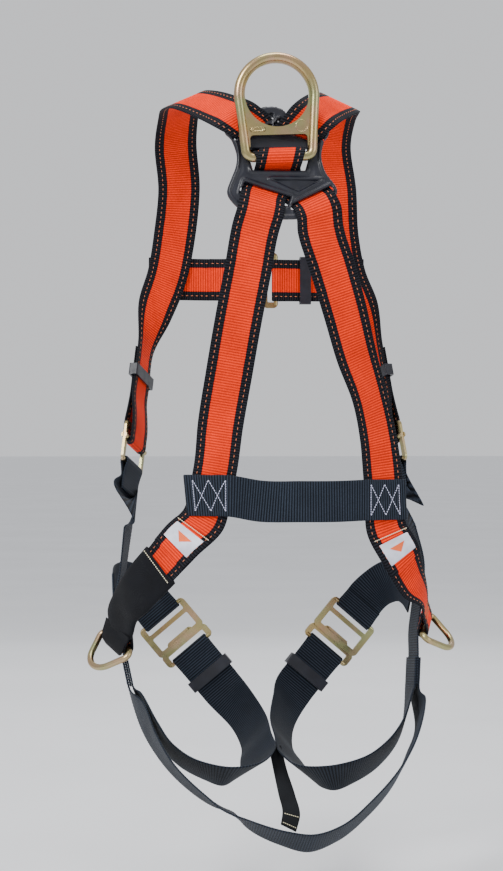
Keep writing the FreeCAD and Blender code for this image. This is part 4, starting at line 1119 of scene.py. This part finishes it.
def plate_piece():
    """The moulding: rounded raised rims along its outline, its slots and its recess."""
    xs = np.arange(-60.0, 64.0, PLATE_CELL)
    ys = np.arange(-64.0, 58.0, PLATE_CELL)
    x, y = np.meshgrid(xs, ys)
    deep = depth_inside(x, y, closed_curve(PLATE_OUTLINE))
    for slot in (TOP_LEFT_SLOT, TOP_RIGHT_SLOT, LOW_LEFT_SLOT, LOW_RIGHT_SLOT, WINDOW):
        deep = np.minimum(deep, -depth_inside(x, y, slot))
    recess = depth_inside(x, y, BRIDGE_RECESS)
    rim = np.cos(np.clip((deep - 2.4) / 2.6, -1, 1) * math.pi / 2) ** 2
    under_ring = smooth((40.0 - np.abs(x)) / 4) * smooth((y + 12.0) / 5) * smooth((34.0 - y) / 6)
    rim *= 1 - under_ring
    lip = np.cos(np.clip((recess + 1.6) / 2.2, -1, 1) * math.pi / 2) ** 2
    edge = EDGE_ROUND - np.sqrt(np.clip(EDGE_ROUND ** 2 - (EDGE_ROUND - deep) ** 2, 0, None))
    top = (PLATE_THICK - 0.4 + 1.5 * np.maximum(rim, 0.8 * lip) + 0.8 * smooth((deep - 5) / 8)
           - 2.6 * smooth((recess + 0.6) / 1.6) - np.where(deep < EDGE_ROUND, edge, 0.0))
    for across, up in KNOB_HOLES:
        top -= 3.0 * (1 - smooth((np.hypot(x - across, y - up) - 1.3) / 0.8))
    low = np.zeros_like(top)
    strap_limits(x, y, top, low)
    centre = (deep[:-1, :-1] + deep[1:, :-1] + deep[:-1, 1:] + deep[1:, 1:]) / 4
    gap = np.minimum.reduce([(top - low)[a:a + x.shape[0] - 1, b:b + x.shape[1] - 1]
                             for a in (0, 1) for b in (0, 1)])
    cells = (centre > 0) & (gap > 0.5)
    gy, gx = np.gradient(deep, PLATE_CELL)
    pull = np.where((deep < PLATE_CELL * 0.75) & (deep > -PLATE_CELL), deep, 0.0)
    size = np.maximum(gx ** 2 + gy ** 2, 0.3)
    x2, y2 = x - pull * gx / size, y - pull * gy / size
    ids = np.arange(x.size).reshape(x.shape)

    def place(n):
        flat = (PLATE.o[None, None, :] + PLATE.u * y2[:, :, None] + PLATE.n * n[:, :, None]
                - PLATE.w * x2[:, :, None])
        return flat.reshape(-1, 3)

    points = np.concatenate([place(top), place(low)])
    faces = []
    under = x.size
    i_all, j_all = np.nonzero(cells)
    solid = np.pad(cells, 1)
    for i, j in zip(i_all, j_all):
        a, b, c, d = ids[i, j], ids[i, j + 1], ids[i + 1, j + 1], ids[i + 1, j]
        faces.append((a, b, c, d))
        faces.append((under + d, under + c, under + b, under + a))
        for p, q, full in ((a, b, solid[i, j + 1]), (b, c, solid[i + 1, j + 2]),
                           (c, d, solid[i + 2, j + 1]), (d, a, solid[i + 1, j])):
            if not full:
                faces.append((q, p, under + p, under + q))
    used = np.unique(np.concatenate([np.array(f) for f in faces]))
    index = np.zeros(len(points), int)
    index[used] = np.arange(len(used))
    piece = mesh_piece("dorsal_plate_moulding", points[used],
                       [tuple(int(index[k]) for k in f) for f in faces])
    dress(piece, PLASTIC, stands_for=("dorsal_plate",))


plate_piece()


# ---- marks on the dorsal ring's web ----
RING_REST_LEAN = 7.0
RING_WEB_FACE = 2.0


def ring_mark(name, outline, inner_share, rise):
    """Raised band between an outline, given as across and up, and its own smaller copy."""
    u, n = turn(PLATE_UP, PLATE_OUT, RING_TWIST), PLATE_OUT
    w = np.cross(n, u)
    u, n = turn(u, w, -RING_REST_LEAN), turn(n, w, -RING_REST_LEAN)
    foot = PLATE.point(0, RING_STANDOFF)
    outer = np.array(outline)
    inner = outer.mean(axis=0) + (outer - outer.mean(axis=0)) * inner_share
    count = len(outer)
    points = [foot + u * v - w * x + n * h
              for ring, h in ((outer, RING_WEB_FACE - 0.1), (outer, RING_WEB_FACE + rise),
                              (inner, RING_WEB_FACE + rise), (inner, RING_WEB_FACE - 0.1))
              for x, v in ring]
    faces = [(a * count + k, a * count + (k + 1) % count,
              b * count + (k + 1) % count, b * count + k)
             for a, b in ((0, 1), (1, 2), (2, 3), (3, 0)) for k in range(count)]
    dress(mesh_piece(name, points, faces), ZINC, "dorsal_ring")


def stadium(x, y, half, radius, steps=16):
    turns = [2 * math.pi * k / (2 * steps) for k in range(2 * steps)]
    return [(x + math.copysign(half, math.cos(a)) + radius * math.cos(a), y + radius * math.sin(a))
            for a in turns]


ring_mark("ring_round_mark", stadium(22.5, 29.0, 0.0, 6.0), 0.86, 0.35)
for k in range(2):
    ring_mark("ring_oval_pad_%d" % k, stadium(-19.8, 26.6, 5.4, 2.4), (0.84, 0.45)[k], 0.35)


# ---- metal and keepers straight from the frame ----
METAL_WORDS = ("ring", "buckle_t", "buckle_r", "adjuster")
for node, piece in frame["nodes"].items():
    if "keeper" in node:
        look = PLASTIC
    elif any(word in node for word in METAL_WORDS):
        look = ZINC
    else:
        continue
    piece.data.materials.clear()
    piece.data.materials.append(look)


# ---- floor, light and camera ----
def pale_material():
    mat, tree, shader = material("pale_floor")
    tint = ramp(tree, noise(tree, 3.0, 2.0), 0.3, 0.7, 0.97, 1.02)
    paint(tree, shader, (0.80, 0.81, 0.83, 1.0), tint)
    settle(shader, Roughness=0.85)
    return mat


FLOOR_HALF = 40000.0
FLOOR_HEIGHT = -400.0


def floor():
    size, low = FLOOR_HALF, FLOOR_HEIGHT
    corners = [(-size, -size, low), (size, -size, low), (size, size, low), (-size, size, low)]
    plane = mesh_piece("floor", corners, [(0, 1, 2, 3)], smooth=False)
    plane.data.materials.append(pale_material())


def area_light(name, place, aim, size, power, colour=(1.0, 1.0, 1.0)):
    data = bpy.data.lights.new(name, "AREA")
    data.shape = "DISK"
    data.size = size
    data.energy = power
    data.color = colour
    lamp = bpy.data.objects.new(name, data)
    lamp.location = place
    lamp.rotation_euler = (Vector(aim) - Vector(place)).to_track_quat("-Z", "Y").to_euler()
    bpy.context.scene.collection.objects.link(lamp)


def camera():
    data = bpy.data.cameras.new("camera")
    data.lens = 77.75
    data.sensor_width = 36.0
    cam = bpy.data.objects.new("camera", data)
    cam.location = (-0.1819, -1.9082, 0.064)
    cam.rotation_euler = Vector((0.08716, 0.99619, 0.0)).to_track_quat("-Z", "Y").to_euler()
    bpy.context.scene.collection.objects.link(cam)
    bpy.context.scene.camera = cam


floor()
area_light("key", (-1.3, -1.7, 1.5), (0.0, 0.0, 0.05), 0.9, 52.0)
area_light("fill", (1.9, -1.5, 0.7), (0.0, 0.0, 0.0), 1.4, 12.0)
area_light("top", (0.1, -0.2, 2.1), (0.0, 0.0, 0.0), 1.2, 26.0)
area_light("front", (0.2, 2.0, 0.9), (0.0, 0.0, 0.0), 1.6, 8.0)
world = bpy.data.worlds.new("studio")
world.use_nodes = True
world.node_tree.nodes["Background"].inputs[0].default_value = (0.93, 0.94, 0.97, 1.0)
world.node_tree.nodes["Background"].inputs[1].default_value = 0.85
bpy.context.scene.world = world
camera()
